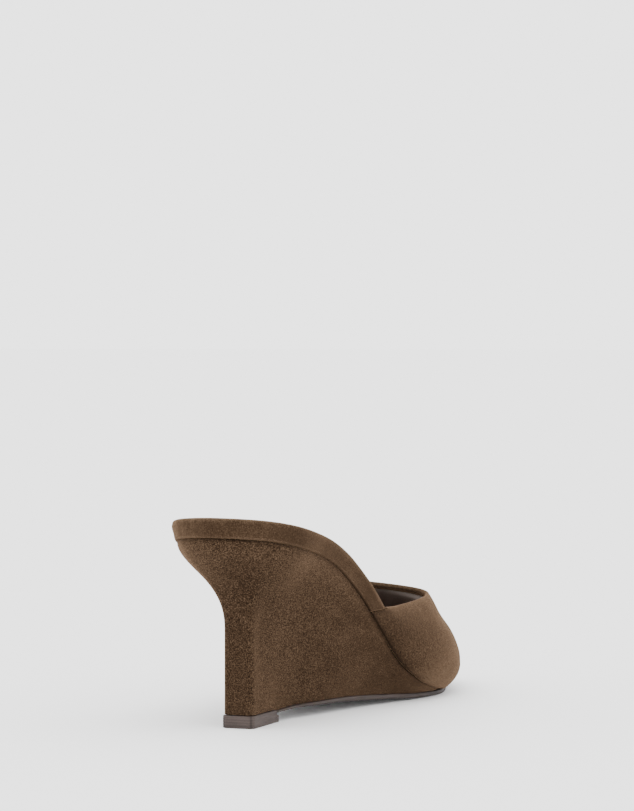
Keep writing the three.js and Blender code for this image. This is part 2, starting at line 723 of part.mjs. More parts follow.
function makeHeelTip() {
  const half = TIP_WIDTH / 2;
  const reach = TIP_LENGTH / 2;
  const radius = WEDGE_CORNER_RADIUS;
  const plan = new THREE.Shape();
  plan.moveTo(half, reach);
  plan.lineTo(-half, reach);
  plan.lineTo(-half, -reach + radius);
  plan.absarc(-half + radius, -reach + radius, radius, Math.PI, 1.5 * Math.PI);
  plan.absarc(half - radius, -reach + radius, radius, 1.5 * Math.PI, 2 * Math.PI);
  plan.closePath();
  const block = new THREE.ExtrudeGeometry(plan, {
    depth: TIP_THICKNESS,
    bevelEnabled: false,
    curveSegments: 6,
  });
  const cut = TIP_THICKNESS - TIP_LIP_THICKNESS;
  const cutter = new THREE.BoxGeometry(2 * TIP_WIDTH, 2 * TIP_LIP_LENGTH, 2 * cut);
  cutter.translate(0, reach, TIP_THICKNESS);
  return fromSolid(toSolid(block).subtract(toSolid(cutter)));
}

// Assembly

const SUEDE = { color: 0x5e4634, roughness: 0.95, metalness: 0 };
const LINING = { color: 0x33261f, roughness: 0.5, metalness: 0 };
const RUBBER = { color: 0x6b5f5b, roughness: 0.7, metalness: 0 };

function piece(name, geometry, finish) {
  const mesh = new THREE.Mesh(geometry, new THREE.MeshStandardMaterial(finish));
  mesh.name = name;
  return mesh;
}

const group = new THREE.Group();
group.add(piece('upper', makeUpper(), SUEDE));
group.add(piece('footbed', makeFootbed(), SUEDE));
group.add(piece('insole', makeInsole(), LINING));
group.add(piece('wedge', makeWedge(), SUEDE));
group.add(piece('outsole', makeOutsole(), RUBBER));
group.add(piece('heel_tip', makeHeelTip(), RUBBER));

export default group;
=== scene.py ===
"""Wedge mule for the right foot: suede upper, wrapped footbed and wedge, thin rubber sole.

Shapes are worked out in millimetres from the last. X points to the outer side, Z up, and a
station is a distance along the floor from the back of the seat towards the toe.
"""

import logging
from dataclasses import dataclass, field
from enum import Enum
from typing import Callable, Sequence

import bpy
import numpy as np
import numpy.typing as npt
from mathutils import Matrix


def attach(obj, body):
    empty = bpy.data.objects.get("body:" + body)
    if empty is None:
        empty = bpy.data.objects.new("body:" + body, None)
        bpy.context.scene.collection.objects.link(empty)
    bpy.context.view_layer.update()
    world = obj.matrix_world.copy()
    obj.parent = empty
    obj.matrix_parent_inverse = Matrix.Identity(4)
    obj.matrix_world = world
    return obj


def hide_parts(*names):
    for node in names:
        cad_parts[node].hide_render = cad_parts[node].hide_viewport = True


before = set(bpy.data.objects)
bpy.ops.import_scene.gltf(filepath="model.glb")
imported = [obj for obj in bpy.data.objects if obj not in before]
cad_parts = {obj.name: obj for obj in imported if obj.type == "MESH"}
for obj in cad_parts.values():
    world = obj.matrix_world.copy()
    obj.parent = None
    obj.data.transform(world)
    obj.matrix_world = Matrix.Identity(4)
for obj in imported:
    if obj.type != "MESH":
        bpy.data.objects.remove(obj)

FloatArray = npt.NDArray[np.float64]
IntArray = npt.NDArray[np.int64]
Vector = tuple[float, float, float]
Colour = Vector
SideFunction = Callable[[FloatArray, float], FloatArray]

MM = 0.001
# Cells to a millimetre. Points in the same cell are welded into one.
WELD_GRID = 2000.0
UP = np.array([0.0, 0.0, 1.0])
# Smallest number that anything is divided by.
TINY = 1e-9
LOG = logging.getLogger("mule")


class Side(float, Enum):
    """Side of the shoe, as the sign of X."""

    OUTER = 1.0
    INNER = -1.0


# Curves and tables


def smoothstep(x: FloatArray | float, low: float, high: float) -> FloatArray:
    """Ease from 0 at low to 1 at high: three squares less two cubes of the share."""
    share = np.clip((np.asarray(x, float) - low) / (high - low), 0.0, 1.0)
    return share * share * (3.0 - 2.0 * share)


def bell(x: FloatArray, middle: float, width: float) -> FloatArray:
    """Bell curve: e to the minus square of the distance over the width."""
    return np.exp(-(((x - middle) / width) ** 2))


def round_in(radius: FloatArray | float, to_edge: FloatArray) -> FloatArray:
    """Step back of a rounded edge: the radius less the height of its quarter circle."""
    short = np.clip(radius - to_edge, 0.0, radius)
    return radius - np.sqrt(np.maximum(radius**2 - short**2, 0.0))


@dataclass(frozen=True)
class Ease:
    """Ease from 0 at one place to 1 at another."""

    low: float
    high: float

    def at(self, x: FloatArray | float, start: float = 0.0) -> FloatArray:
        """Smooth step between the two places, both counted from a start."""
        return smoothstep(x, start + self.low, start + self.high)


@dataclass(frozen=True)
class Peak:
    """Bell of a given strength about its middle."""

    middle: float
    width: float
    strength: float = 1.0

    def at(self, x: FloatArray) -> FloatArray:
        """The bell curve times the strength."""
        return bell(x, self.middle, self.width) * self.strength


@dataclass(frozen=True)
class Fade:
    """Strength at an edge, and the distance over which it falls away."""

    strength: float
    reach: float

    def at(self, distance: FloatArray) -> FloatArray:
        """The strength times e to the minus distance over the reach."""
        return np.exp(-distance / self.reach) * self.strength


@dataclass(frozen=True, eq=False)
class Curve:
    """Smooth curve through a few points that never overshoots them."""

    xs: FloatArray
    ys: FloatArray

    def __call__(self, x: FloatArray | float) -> FloatArray:
        """Cubic between neighbours, with the harmonic mean of their slopes at each point.

        Args:
            x: Places to read, held to the curve's ends.

        Returns:
            The curve's values there.
        """
        held = np.clip(np.asarray(x, float), self.xs[0], self.xs[-1])
        slopes = np.diff(self.ys) / np.diff(self.xs)
        product = slopes[:-1] * slopes[1:]
        total = np.where(product > 0, slopes[:-1] + slopes[1:], 1.0)
        inner = np.where(product > 0, 2.0 * product / total, 0.0)
        tangents = np.concatenate([slopes[:1], inner, slopes[-1:]])
        i = np.clip(np.searchsorted(self.xs, held, side="right") - 1, 0, len(self.xs) - 2)
        span = self.xs[i + 1] - self.xs[i]
        t = (held - self.xs[i]) / span
        level = self.ys[i] * (1 + 2 * t) * (1 - t) ** 2 + self.ys[i + 1] * t * t * (3 - 2 * t)
        return level + span * t * (1 - t) * (tangents[i] * (1 - t) - tangents[i + 1] * t)


@dataclass(frozen=True)
class Table:
    """Short table with named columns, read as curves over its first column."""

    columns: tuple[str, ...]
    rows: tuple[tuple[float, ...], ...]

    def curve(self, name: str) -> Curve:
        """Curve of the named column."""
        values = np.array(self.rows, float)
        return Curve(values[:, 0], values[:, self.columns.index(name)])


# Turn runs from 0 at the heel to 1 at the toe as on a half circle. Breadth times its sine is
# the half width, and drift the middle's offset, as shares of half the ball width.
FEATHER_PLAN = Table(
    ("turn", "breadth", "drift"),
    (
        (0.0, 1.3, -0.037),
        (0.1, 1.285, -0.037),
        (0.2, 1.19, -0.036),
        (0.3, 0.91, -0.02),
        (0.4, 0.765, 0.035),
        (0.5, 0.808, 0.058),
        (0.6, 1.034, 0.023),
        (0.7, 1.138, -0.028),
        (0.8, 1.132, -0.065),
        (0.9, 1.155, -0.082),
        (1.0, 1.183, -0.085),
    ),
)

# Station is a share of the sole's length, height a share of the seat's above the forepart.
FEATHER_PROFILE = Table(
    ("station", "height"),
    (
        (0.0, 1.0),
        (0.055, 0.977),
        (0.129, 0.931),
        (0.212, 0.876),
        (0.295, 0.784),
        (0.378, 0.624),
        (0.461, 0.403),
        (0.544, 0.194),
        (0.627, 0.069),
        (0.7, 0.018),
        (0.76, 0.0),
        (1.0, 0.0),
    ),
)

# Turn runs from 0 at the outsole's straight rear end to 1 at the toe as on a quarter circle.
OUTSOLE_PLAN = Table(
    ("turn", "breadth", "drift"),
    (
        (0.0, 0.195, 0.0),
        (0.05, 0.265, 0.003),
        (0.1, 0.385, 0.01),
        (0.2, 0.549, 0.025),
        (0.3, 0.792, 0.034),
        (0.4, 1.096, 0.011),
        (0.5, 1.315, -0.014),
        (0.6, 1.365, -0.035),
        (0.7, 1.35, -0.058),
        (0.85, 1.4, -0.078),
        (1.0, 1.46, -0.085),
    ),
)

# Back is the share of the way from the ball to the outsole's rear end.
ARCH_PROFILE = Table(
    ("back", "rise"),
    ((0.0, 0.0), (0.17, 0.16), (0.335, 0.46), (0.5, 0.72), (0.68, 0.95), (0.86, 1.0), (1.0, 0.86)),
)

# Wrapped edge from its lower to its upper side. Rise is a share of the thickness and out a
# share of the outset.
BAND_SECTION = Table(
    ("along", "rise", "out"),
    (
        (0.0, 0.0, -0.9),
        (0.06, 0.005, -0.3),
        (0.11, 0.035, 0.0),
        (0.4, 0.4, 0.58),
        (0.62, 0.7, 1.0),
        (0.76, 0.87, 0.92),
        (0.88, 0.96, 0.35),
        (1.0, 1.0, -0.9),
    ),
)

# Lean of the forepart's side out into the upper. Station is a share of the sole's length and
# lean a share of the rebate.
FOREPART_LEAN = Table(
    ("station", "lean"),
    ((0.43, 0.4), (0.5, 1.4), (0.59, 1.9), (0.7, 1.6), (1.0, 1.3)),
)

# Turn runs from 0 at the side seam to 1 at the toe. Topline is the place on the topline that
# the section reaches, and the rest are how far its two bends stand out and up from the chord,
# as shares of half the ball width.
UPPER_SECTIONS = Table(
    ("turn", "topline", "low_out", "low_up", "high_out", "high_up"),
    (
        (0.0, 0.0, 0.0, 0.0, 0.0, 0.0),
        (0.1, 0.06, 0.14, 0.0, 0.1, 0.0),
        (0.2, 0.17, 0.26, -0.06, 0.17, 0.0),
        (0.3, 0.34, 0.34, -0.12, 0.22, 0.0),
        (0.4, 0.49, 0.41, -0.14, 0.2, 0.0),
        (0.5, 0.63, 0.47, -0.14, 0.18, 0.0),
        (0.6, 0.72, 0.53, -0.14, 0.18, 0.0),
        (0.8, 0.87, 0.7, -0.12, 0.2, 0.0),
        (1.0, 1.0, 0.84, -0.08, 0.2, 0.0),
    ),
)

# Heel is the share of the hollowed rear form in the wedge's side.
WEDGE_FLARE = Table(
    ("station", "heel"),
    ((0.0, 1.0), (0.08, 1.0), (0.18, 0.7), (0.28, 0.3), (0.42, 0.0), (1.0, 0.0)),
)


# The last and the pieces' shapes


@dataclass(frozen=True)
class Last:
    """The last: the feather line's plan and height, and the seat's surface on it."""

    sole_length: float = 217.0
    ball_width: float = 71.0
    heel_height: float = 75.0
    forepart_height: float = 2.3
    toe_spring: float = 6.0
    ball_station: float = 155.0
    spring_station: float = 172.0
    spine_margin: float = 19.0
    origin_station: float = 33.35
    fit_gap: float = 0.3

    @property
    def half_ball(self) -> float:
        """Half the ball width."""
        return self.ball_width / 2

    def station_at(self, turn: FloatArray) -> FloatArray:
        """Half the sole's length times one less the cosine of the half turn."""
        return self.sole_length * (1.0 - np.cos(np.pi * np.asarray(turn, float))) / 2.0

    def turn_at(self, station: FloatArray | float) -> FloatArray:
        """The turn that reaches a station, the inverse of station_at."""
        share = np.clip(2.0 * np.asarray(station, float) / self.sole_length, 0.0, 2.0)
        return np.arccos(1.0 - share) / np.pi

    def drift(self, turn: FloatArray) -> FloatArray:
        """Offset of the feather line's middle to the outer side."""
        return self.half_ball * FEATHER_PLAN.curve("drift")(turn)

    def plan(self, turn: FloatArray, side: float, out: FloatArray | float = 0.0) -> FloatArray:
        """Feather line in plan: breadth times the sine of the turn, moved out along its normal.

        Args:
            turn: Places from the heel to the toe.
            side: Sign of the side.
            out: Distance outwards, square to the line.

        Returns:
            X and station of each place, in the last axis.
        """
        line = self._line(turn, side)
        step = 1e-4
        low = self._line(np.maximum(turn - step, 0.0), side)
        high = self._line(np.minimum(turn + step, 1.0), side)
        along = high - low
        # At the two ends the line turns square to the length.
        ends = (np.asarray(turn) <= step) | (np.asarray(turn) >= 1.0 - step)
        heading = np.where(np.asarray(turn) < 0.5, 1.0, -1.0) * side
        along = np.where(ends[..., None], np.stack([heading, 0.0 * heading], -1), along)
        along /= np.linalg.norm(along, axis=-1, keepdims=True)
        normal = side * np.stack([along[..., 1], -along[..., 0]], -1)
        return line + normal * np.asarray(out, float)[..., None]

    def _line(self, turn: FloatArray, side: float) -> FloatArray:
        """Feather line itself.

        Args:
            turn: Places from the heel to the toe.
            side: Sign of the side.

        Returns:
            X and station of each place.
        """
        half = FEATHER_PLAN.curve("breadth")(turn) * np.sin(np.pi * np.asarray(turn, float))
        x = self.half_ball * side * half + self.drift(turn)
        return np.stack([x, self.station_at(turn)], -1)

    def spring(self, station: FloatArray) -> FloatArray:
        """Toe spring: the square of the share of the way to the toe."""
        reach = self.sole_length - self.spring_station
        return self.toe_spring * (np.maximum(station - self.spring_station, 0.0) / reach) ** 2

    def height(self, station: FloatArray) -> FloatArray:
        """Height of the feather line above the floor.

        Args:
            station: Distances from the back of the seat.

        Returns:
            The heights.
        """
        share = FEATHER_PROFILE.curve("height")(station / self.sole_length)
        rise = (self.heel_height - self.forepart_height) * share
        return self.forepart_height + rise + self.spring(station)

    def on_seat(self, plan: FloatArray, height: FloatArray | float) -> FloatArray:
        """Points at a height square to the seat's surface, over places in plan.

        Args:
            plan: X and station, in the last axis.
            height: Distance above the seat's surface.

        Returns:
            X, station and Z, in the last axis.
        """
        x, station = plan[..., 0], plan[..., 1]
        step = 0.5
        slope = (self.height(station + step) - self.height(station - step)) / (2.0 * step)
        length = np.hypot(slope, 1.0)
        rise = np.broadcast_to(np.asarray(height, float), station.shape)
        back, lift = slope / length * rise, rise / length
        return np.stack([x, station - back, self.height(station) + lift], -1)

    def spine(self, station: FloatArray) -> FloatArray:
        """Middle line on which a flat piece's two sides meet, beside a station of its edge."""
        held = np.clip(station, self.spine_margin, self.sole_length - self.spine_margin)
        return np.stack([self.drift(self.turn_at(held)), held], -1)


def unit(vectors: FloatArray) -> FloatArray:
    """Vectors divided by their lengths."""
    return vectors / np.maximum(np.linalg.norm(vectors, axis=-1, keepdims=True), TINY)


def cubic(
    start: FloatArray, low: FloatArray, high: FloatArray, end: FloatArray, t: FloatArray
) -> FloatArray:
    """Cubic curve: four marks weighed by the powers of t and of one less t."""
    bends = 3 * low * (1 - t) ** 2 * t + 3 * high * (1 - t) * t * t
    return start * (1 - t) ** 3 + bends + end * t**3


def around(values: FloatArray | IntArray) -> FloatArray | IntArray:
    """Values of one side carried round a ring, the two ends once each."""
    return np.concatenate([values, values[-2:0:-1]])


def ring(turns: FloatArray, point: SideFunction) -> FloatArray:
    """Closed ring that runs along the outer side to the toe and back along the inner side.

    Args:
        turns: Places along one side, ends included.
        point: Function of places and side that gives points.

    Returns:
        The ring's points, the two ends once each.
    """
    outer = point(turns, Side.OUTER.value)
    inner = point(turns[-2:0:-1], Side.INNER.value)
    return np.concatenate([outer, inner])


def between(first: FloatArray, last: FloatArray, shares: Sequence[float]) -> list[FloatArray]:
    """Arrays on the straight way from one to another, at the given shares."""
    return [first + (last - first) * share for share in shares]


@dataclass
class Body:
    """Points in rows, the faces between them and what each point or face carries."""

    rows: FloatArray
    closed_across: bool = True
    closed_along: bool = False
    finish: IntArray | None = None
    marks: dict[str, FloatArray] = field(default_factory=dict)
    extra_faces: IntArray | None = None

    def strips(self) -> tuple[int, int]:
        """Counts the strips of faces.

        Returns:
            The number along and the number across the rows.
        """
        rows, columns = self.rows.shape[:2]
        along = rows if self.closed_along else rows - 1
        return along, columns if self.closed_across else columns - 1

    def faces(self) -> IntArray:
        """Four-cornered faces between neighbouring rows and columns.

        Returns:
            Point numbers of each face, counted row by row.
        """
        rows, columns = self.rows.shape[:2]
        along, across = self.strips()
        i, j = np.meshgrid(np.arange(along), np.arange(across), indexing="ij")
        next_row, next_column = (i + 1) % rows, (j + 1) % columns
        quads = np.stack(
            [
                i * columns + j,
                i * columns + next_column,
                next_row * columns + next_column,
                next_row * columns + j,
            ],
            -1,
        )
        return quads.reshape(-1, 4)


def weld(points: FloatArray) -> tuple[IntArray, IntArray]:
    """Finds points that share a place.

    Args:
        points: Points in millimetres.

    Returns:
        The first point of each place, and each point's place.
    """
    keys = np.round(points * WELD_GRID).astype(np.int64)
    _, first, inverse = np.unique(keys, axis=0, return_index=True, return_inverse=True)
    return first, inverse.reshape(-1)


def split_corners(quads: IntArray) -> tuple[IntArray, IntArray, IntArray, IntArray]:
    """Sorts faces into those with four different corners and those with three.

    Args:
        quads: Point numbers, four to a face.

    Returns:
        Four-cornered faces, their places in the list, triangles and theirs.
    """
    same_next = quads == np.roll(quads, -1, axis=1)
    opposite = (quads[:, 0] == quads[:, 2]) | (quads[:, 1] == quads[:, 3])
    whole = np.flatnonzero(~same_next.any(1) & ~opposite)
    folded = np.flatnonzero((same_next.sum(1) == 1) & ~opposite)
    doubled = np.argmax(same_next[folded], axis=1)
    order = (doubled[:, None] + np.array([1, 2, 3])) % 4
    triangles = np.take_along_axis(quads[folded], order, axis=1)
    return quads[whole], whole, triangles, folded


def make_object(
    name: str, body: Body, last: Last, materials: Sequence[bpy.types.Material]
) -> bpy.types.Object:
    """Makes a mesh object of a body, with its place in its mesh.

    Args:
        name: The object's name.
        body: The shape, in millimetres and stations.
        last: The last, which says where the origin is.
        materials: Finishes, in the order that the body numbers them.

    Returns:
        The new object, in the scene.
    """
    flat = body.rows.reshape(-1, 3)
    first, place = weld(flat)
    placed = (flat[first] - np.array([0.0, last.origin_station, 0.0])) * MM
    quads = body.faces()
    finish = np.zeros(len(quads), np.int32)
    if body.finish is not None:
        finish = np.broadcast_to(body.finish, body.strips()).reshape(-1).astype(np.int32)
    if body.extra_faces is not None:
        quads = np.concatenate([quads, body.extra_faces])
        finish = np.concatenate([finish, np.zeros(len(body.extra_faces), np.int32)])
    whole, whole_at, triangles, triangles_at = split_corners(place[quads])
    corners = np.concatenate([whole.reshape(-1), triangles.reshape(-1)]).astype(np.int32)
    counts = np.concatenate([np.full(len(whole), 4), np.full(len(triangles), 3)])
    starts = np.concatenate([[0], np.cumsum(counts)[:-1]]).astype(np.int32)
    mesh = bpy.data.meshes.new(name)
    mesh.vertices.add(len(placed))
    mesh.vertices.foreach_set("co", placed.astype(np.float32).reshape(-1))
    mesh.loops.add(len(corners))
    mesh.loops.foreach_set("vertex_index", corners)
    mesh.polygons.add(len(counts))
    mesh.polygons.foreach_set("loop_start", starts)
    mesh.polygons.foreach_set("material_index", finish[np.concatenate([whole_at, triangles_at])])
    mesh.polygons.foreach_set("use_smooth", np.ones(len(counts), bool))
    for mark, values in body.marks.items():
        layer = mesh.attributes.new(mark, "FLOAT", "POINT")
        layer.data.foreach_set("value", values.reshape(-1)[first].astype(np.float32))
    for material in materials:
        mesh.materials.append(material)
    mesh.update()
    mesh.validate()
    piece = bpy.data.objects.new(name, mesh)
    bpy.context.scene.collection.objects.link(piece)
    return piece


def report(piece: bpy.types.Object) -> None:
    """Logs a piece's name and how many points and faces it has."""
    mesh = piece.data
    LOG.info("%s: %d points, %d faces", piece.name, len(mesh.vertices), len(mesh.polygons))


# Shader building


class Value:
    """A number's socket that can be used in arithmetic."""

    def __init__(self, graph: "Graph", socket: bpy.types.NodeSocket) -> None:
        """Keeps the socket and the graph that it is in."""
        self.graph = graph
        self.socket = socket

    def math(self, operation: str, *inputs: "Value | float") -> "Value":
        """A Math node with this value's graph."""
        values = {index: value for index, value in enumerate(inputs)}
        return self.graph.node("ShaderNodeMath", {"operation": operation}, values)

    def __add__(self, other: "Value | float") -> "Value":
        """Sum."""
        return self.math("ADD", self, other)

    def __radd__(self, other: float) -> "Value":
        """Sum, the number first."""
        return self.math("ADD", other, self)

    def __sub__(self, other: "Value | float") -> "Value":
        """Difference."""
        return self.math("SUBTRACT", self, other)

    def __rsub__(self, other: float) -> "Value":
        """Difference, the number first."""
        return self.math("SUBTRACT", other, self)

    def __mul__(self, other: "Value | float") -> "Value":
        """Product."""
        return self.math("MULTIPLY", self, other)

    def __rmul__(self, other: float) -> "Value":
        """Product, the number first."""
        return self.math("MULTIPLY", other, self)

    def sine(self) -> "Value":
        """Sine of the value in radians."""
        return self.math("SINE", self)

    def clamp(self) -> "Value":
        """The value held from 0 to 1."""
        return self.graph.node("ShaderNodeClamp", {}, {"Value": self})

    def ease(self, low: float, high: float) -> "Value":
        """Smooth step of the value.

        Args:
            low: Where it is 0.
            high: Where it is 1.

        Returns:
            The eased value.
        """
        settings = {"interpolation_type": "SMOOTHSTEP"}
        return self.graph.node(
            "ShaderNodeMapRange", settings, {"Value": self, "From Min": low, "From Max": high}
        )


@dataclass(frozen=True)
class Grain:
    """Noise with grains of one size in millimetres, and its shares in colour and relief."""

    size: Vector
    detail: float = 2.0
    rough: float = 0.5
    turn: Vector = (0.0, 0.0, 0.0)
    tone: float = 0.0
    relief: float = 0.0


class Graph:
    """Node tree of a material or of the sky."""

    def __init__(self, owner: bpy.types.Material | bpy.types.World) -> None:
        """Starts an empty node tree.

        Args:
            owner: The material or the sky that the tree belongs to.
        """
        owner.use_nodes = True
        self.owner = owner
        self.tree = owner.node_tree
        self.tree.nodes.clear()

    @classmethod
    def of_material(cls, name: str) -> "Graph":
        """Graph of a new material."""
        return cls(bpy.data.materials.new(name))

    def node(
        self,
        kind: str,
        settings: dict[str, object] | None = None,
        inputs: dict[str | int, object] | None = None,
        output: str | int = 0,
    ) -> Value:
        """Adds a node of any kind.

        Args:
            kind: The node's type name.
            settings: Its properties, set before its sockets.
            inputs: Values or links of its sockets, by name or number.
            output: The output that is returned.

        Returns:
            The output's socket.
        """
        node = self.tree.nodes.new(kind)
        for key, setting in (settings or {}).items():
            setattr(node, key, setting)
        for key, value in (inputs or {}).items():
            if isinstance(value, Value):
                self.tree.links.new(value.socket, node.inputs[key])
            else:
                node.inputs[key].default_value = value
        if not node.outputs:
            return Value(self, node.inputs[0])
        return Value(self, node.outputs[output])

    def place(self) -> Value:
        """Object coordinates, in metres."""
        return self.node("ShaderNodeTexCoord", {}, {}, "Object")

    def mark(self, name: str) -> Value:
        """A mark that the mesh's points carry."""
        return self.node("ShaderNodeAttribute", {"attribute_name": name}, {}, "Fac")

    def stretched(self, size: Vector, turn: Vector = (0.0, 0.0, 0.0)) -> Value:
        """Object coordinates, turned and counted in grains.

        Args:
            size: Length of a grain along each axis, in millimetres.
            turn: Angles about the axes.

        Returns:
            The vector's socket.
        """
        scale = tuple(1.0 / (MM * length) for length in size)
        turned = self.node("ShaderNodeMapping", {}, {"Vector": self.place(), "Rotation": turn})
        return self.node("ShaderNodeMapping", {}, {"Vector": turned, "Scale": scale})

    def parts(self, vector: Value) -> tuple[Value, ...]:
        """The three numbers of a vector."""
        node = self.node("ShaderNodeSeparateXYZ", {}, {0: vector}).socket.node
        return tuple(Value(self, output) for output in node.outputs)

    def noise(self, grain: Grain) -> Value:
        """Noise from 0 to 1 about a half.

        Args:
            grain: Its grains.

        Returns:
            The noise's socket.
        """
        inputs = {
            "Vector": self.stretched(grain.size, grain.turn),
            "Scale": 1.0,
            "Detail": grain.detail,
            "Roughness": grain.rough,
        }
        return self.node("ShaderNodeTexNoise", {}, inputs)

    def mix(self, first: Value | Colour, second: Value | Colour, share: Value | float) -> Value:
        """Mix of two colours.

        Args:
            first: Colour at share 0.
            second: Colour at share 1.
            share: The second one's share.

        Returns:
            The mixed colour's socket.
        """
        colours = [c if isinstance(c, Value) else (*c, 1.0) for c in (first, second)]
        inputs = {0: share, 6: colours[0], 7: colours[1]}
        return self.node("ShaderNodeMix", {"data_type": "RGBA"}, inputs, 2)

    def bump(
        self, height: Value, millimetres: float, under: Value | None = None, strength: float = 1.0
    ) -> Value:
        """Adds a relief.

        Args:
            height: The relief, from 0 to 1.
            millimetres: Its depth.
            under: Normal of a coarser relief that it lies on.
            strength: Its strength.

        Returns:
            The normal's socket.
        """
        inputs = {"Height": height, "Distance": millimetres * MM, "Strength": strength}
        if under is not None:
            inputs["Normal"] = under
        return self.node("ShaderNodeBump", {}, inputs)

    def finish(self, inputs: dict[str | int, object]) -> bpy.types.Material:
        """Ends the graph with one shader and the output.

        Args:
            inputs: Sockets of the shader.

        Returns:
            The finished material.
        """
        shader = self.node("ShaderNodeBsdfPrincipled", {}, inputs)
        self.node("ShaderNodeOutputMaterial", {}, {"Surface": shader})
        return self.owner


# Finishes


@dataclass(frozen=True)
class Suede:
    """Brown suede with a short nap, lighter where brushed, with painted highlights and shade."""

    name: str = "suede"
    deep: Colour = (0.0095, 0.0052, 0.0028)
    body: Colour = (0.0303, 0.0176, 0.0099)
    raised: Colour = (0.079, 0.0505, 0.031)
    fine: Grain = Grain((0.44, 0.44, 0.44), 3.0, 0.65, tone=3.0, relief=0.6)
    speck: Grain = Grain((1.0, 1.0, 1.0), 2.0, 0.6, tone=0.32, relief=0.3)
    hair: Grain = Grain((0.3, 1.3, 1.3), 2.0, 0.6, (0.5, 0.0, 0.35), tone=0.6, relief=0.2)
    cloud: Grain = Grain((15.0, 15.0, 15.0), 3.0, 0.55, tone=0.5, relief=0.6)
    streak: Grain = Grain((3.5, 22.0, 22.0), 3.0, 0.6, (0.5, 0.0, 0.35), tone=0.58, relief=0.4)
    brushed: float = 1.3
    brushed_loss: float = 0.6
    painted_light_tone: float = 0.4
    painted_shade_tone: float = 0.4
    middle_tone: float = 0.5
    top_tone: float = 1.1
    cloud_depth: float = 0.35
    nap_depth: float = 0.25
    nap_strength: float = 0.8
    roughness: float = 0.95
    specular: float = 0.03
    sheen: float = 0.5
    sheen_roughness: float = 0.35
    sheen_tint: Colour = (0.41, 0.255, 0.15)

    def material(self) -> bpy.types.Material:
        """Nap of fine noise over brushed streaks, with marks of painted highlight and shade.

        Returns:
            The material.
        """
        g = Graph.of_material(self.name)
        fine, speck, hair, cloud, streak = (
            g.noise(grain) - 0.5
            for grain in (self.fine, self.speck, self.hair, self.cloud, self.streak)
        )
        nap, painted_light, seam = g.mark("nap"), g.mark("painted_light"), g.mark("seam")
        pile = fine * self.fine.tone + speck * self.speck.tone + hair * self.hair.tone
        brushed = cloud * self.cloud.tone + streak * self.streak.tone
        # Where the nap is coarse, clouds and streaks show less.
        tone = 0.5 + pile * nap + brushed * (self.brushed - nap * self.brushed_loss)
        # Painted light makes the tone lighter and painted shade makes it darker.
        tone = (tone + painted_light * self.painted_light_tone - seam * self.painted_shade_tone).clamp()
        low = g.mix(self.deep, self.body, tone.ease(0.0, self.middle_tone))
        colour = g.mix(low, self.raised, tone.ease(self.middle_tone, self.top_tone))
        clouds = cloud * self.cloud.relief + streak * self.streak.relief
        relief = g.bump(clouds, self.cloud_depth)
        pores = fine * self.fine.relief + speck * self.speck.relief + hair * self.hair.relief
        return g.finish(
            {
                "Base Color": colour,
                "Roughness": self.roughness,
                "Specular IOR Level": self.specular,
                "Sheen Weight": self.sheen,
                "Sheen Roughness": self.sheen_roughness,
                "Sheen Tint": (*self.sheen_tint, 1.0),
                "Normal": g.bump(pores, self.nap_depth, relief, self.nap_strength),
            }
        )


@dataclass(frozen=True)
class LiningLeather:
    """Smooth brown leather with a fine grain and a soft gloss."""

    name: str = "lining_leather"
    # Painted light: both colours are lighter than the sock's, which is the same leather, so that
    # the shaded inside of the upper looks lit.
    dark: Colour = (0.18, 0.132, 0.11)
    light: Colour = (0.29, 0.22, 0.185)
    # Colour of the painted highlight.
    shine: Colour = (0.95, 0.86, 0.8)
    cell: float = 0.9
    cell_edge: float = 0.25
    slow: Grain = Grain((18.0, 18.0, 18.0), 3.0, tone=0.8)
    fine: Grain = Grain((0.4, 0.4, 0.4), 2.0, tone=0.2, relief=0.3)
    painted_shade_tone: float = 0.5
    roughness: float = 0.36
    slow_roughness: float = 0.15
    fine_roughness: float = 0.12
    depth: float = 0.06
    coat: float = 0.08

    def material(self) -> bpy.types.Material:
        """Grain of cells with creases between them, over slow changes of tone.

        Returns:
            The material.
        """
        g = Graph.of_material(self.name)
        cells = g.node(
            "ShaderNodeTexVoronoi",
            {"feature": "DISTANCE_TO_EDGE"},
            {"Vector": g.stretched((self.cell,) * 3), "Scale": 1.0},
        )
        slow, fine = g.noise(self.slow), g.noise(self.fine)
        # Darker where shade is painted.
        tone = slow * self.slow.tone + fine * self.fine.tone - g.mark("seam") * self.painted_shade_tone
        colour = g.mix(self.dark, self.light, tone.clamp())
        rough = (slow - 0.5) * self.slow_roughness + (fine - 0.5) * self.fine_roughness
        relief = cells.ease(0.0, self.cell_edge) + fine * self.fine.relief
        # The painted highlight mixes the colour towards the shine colour.
        return g.finish(
            {
                "Base Color": g.mix(colour, self.shine, g.mark("painted_light").clamp()),
                "Roughness": self.roughness + rough,
                "Normal": g.bump(relief, self.depth),
                "Coat Weight": self.coat,
            }
        )


SOCK_LEATHER = LiningLeather(
    name="sock_leather", dark=(0.026, 0.018, 0.014), light=(0.055, 0.039, 0.031)
)


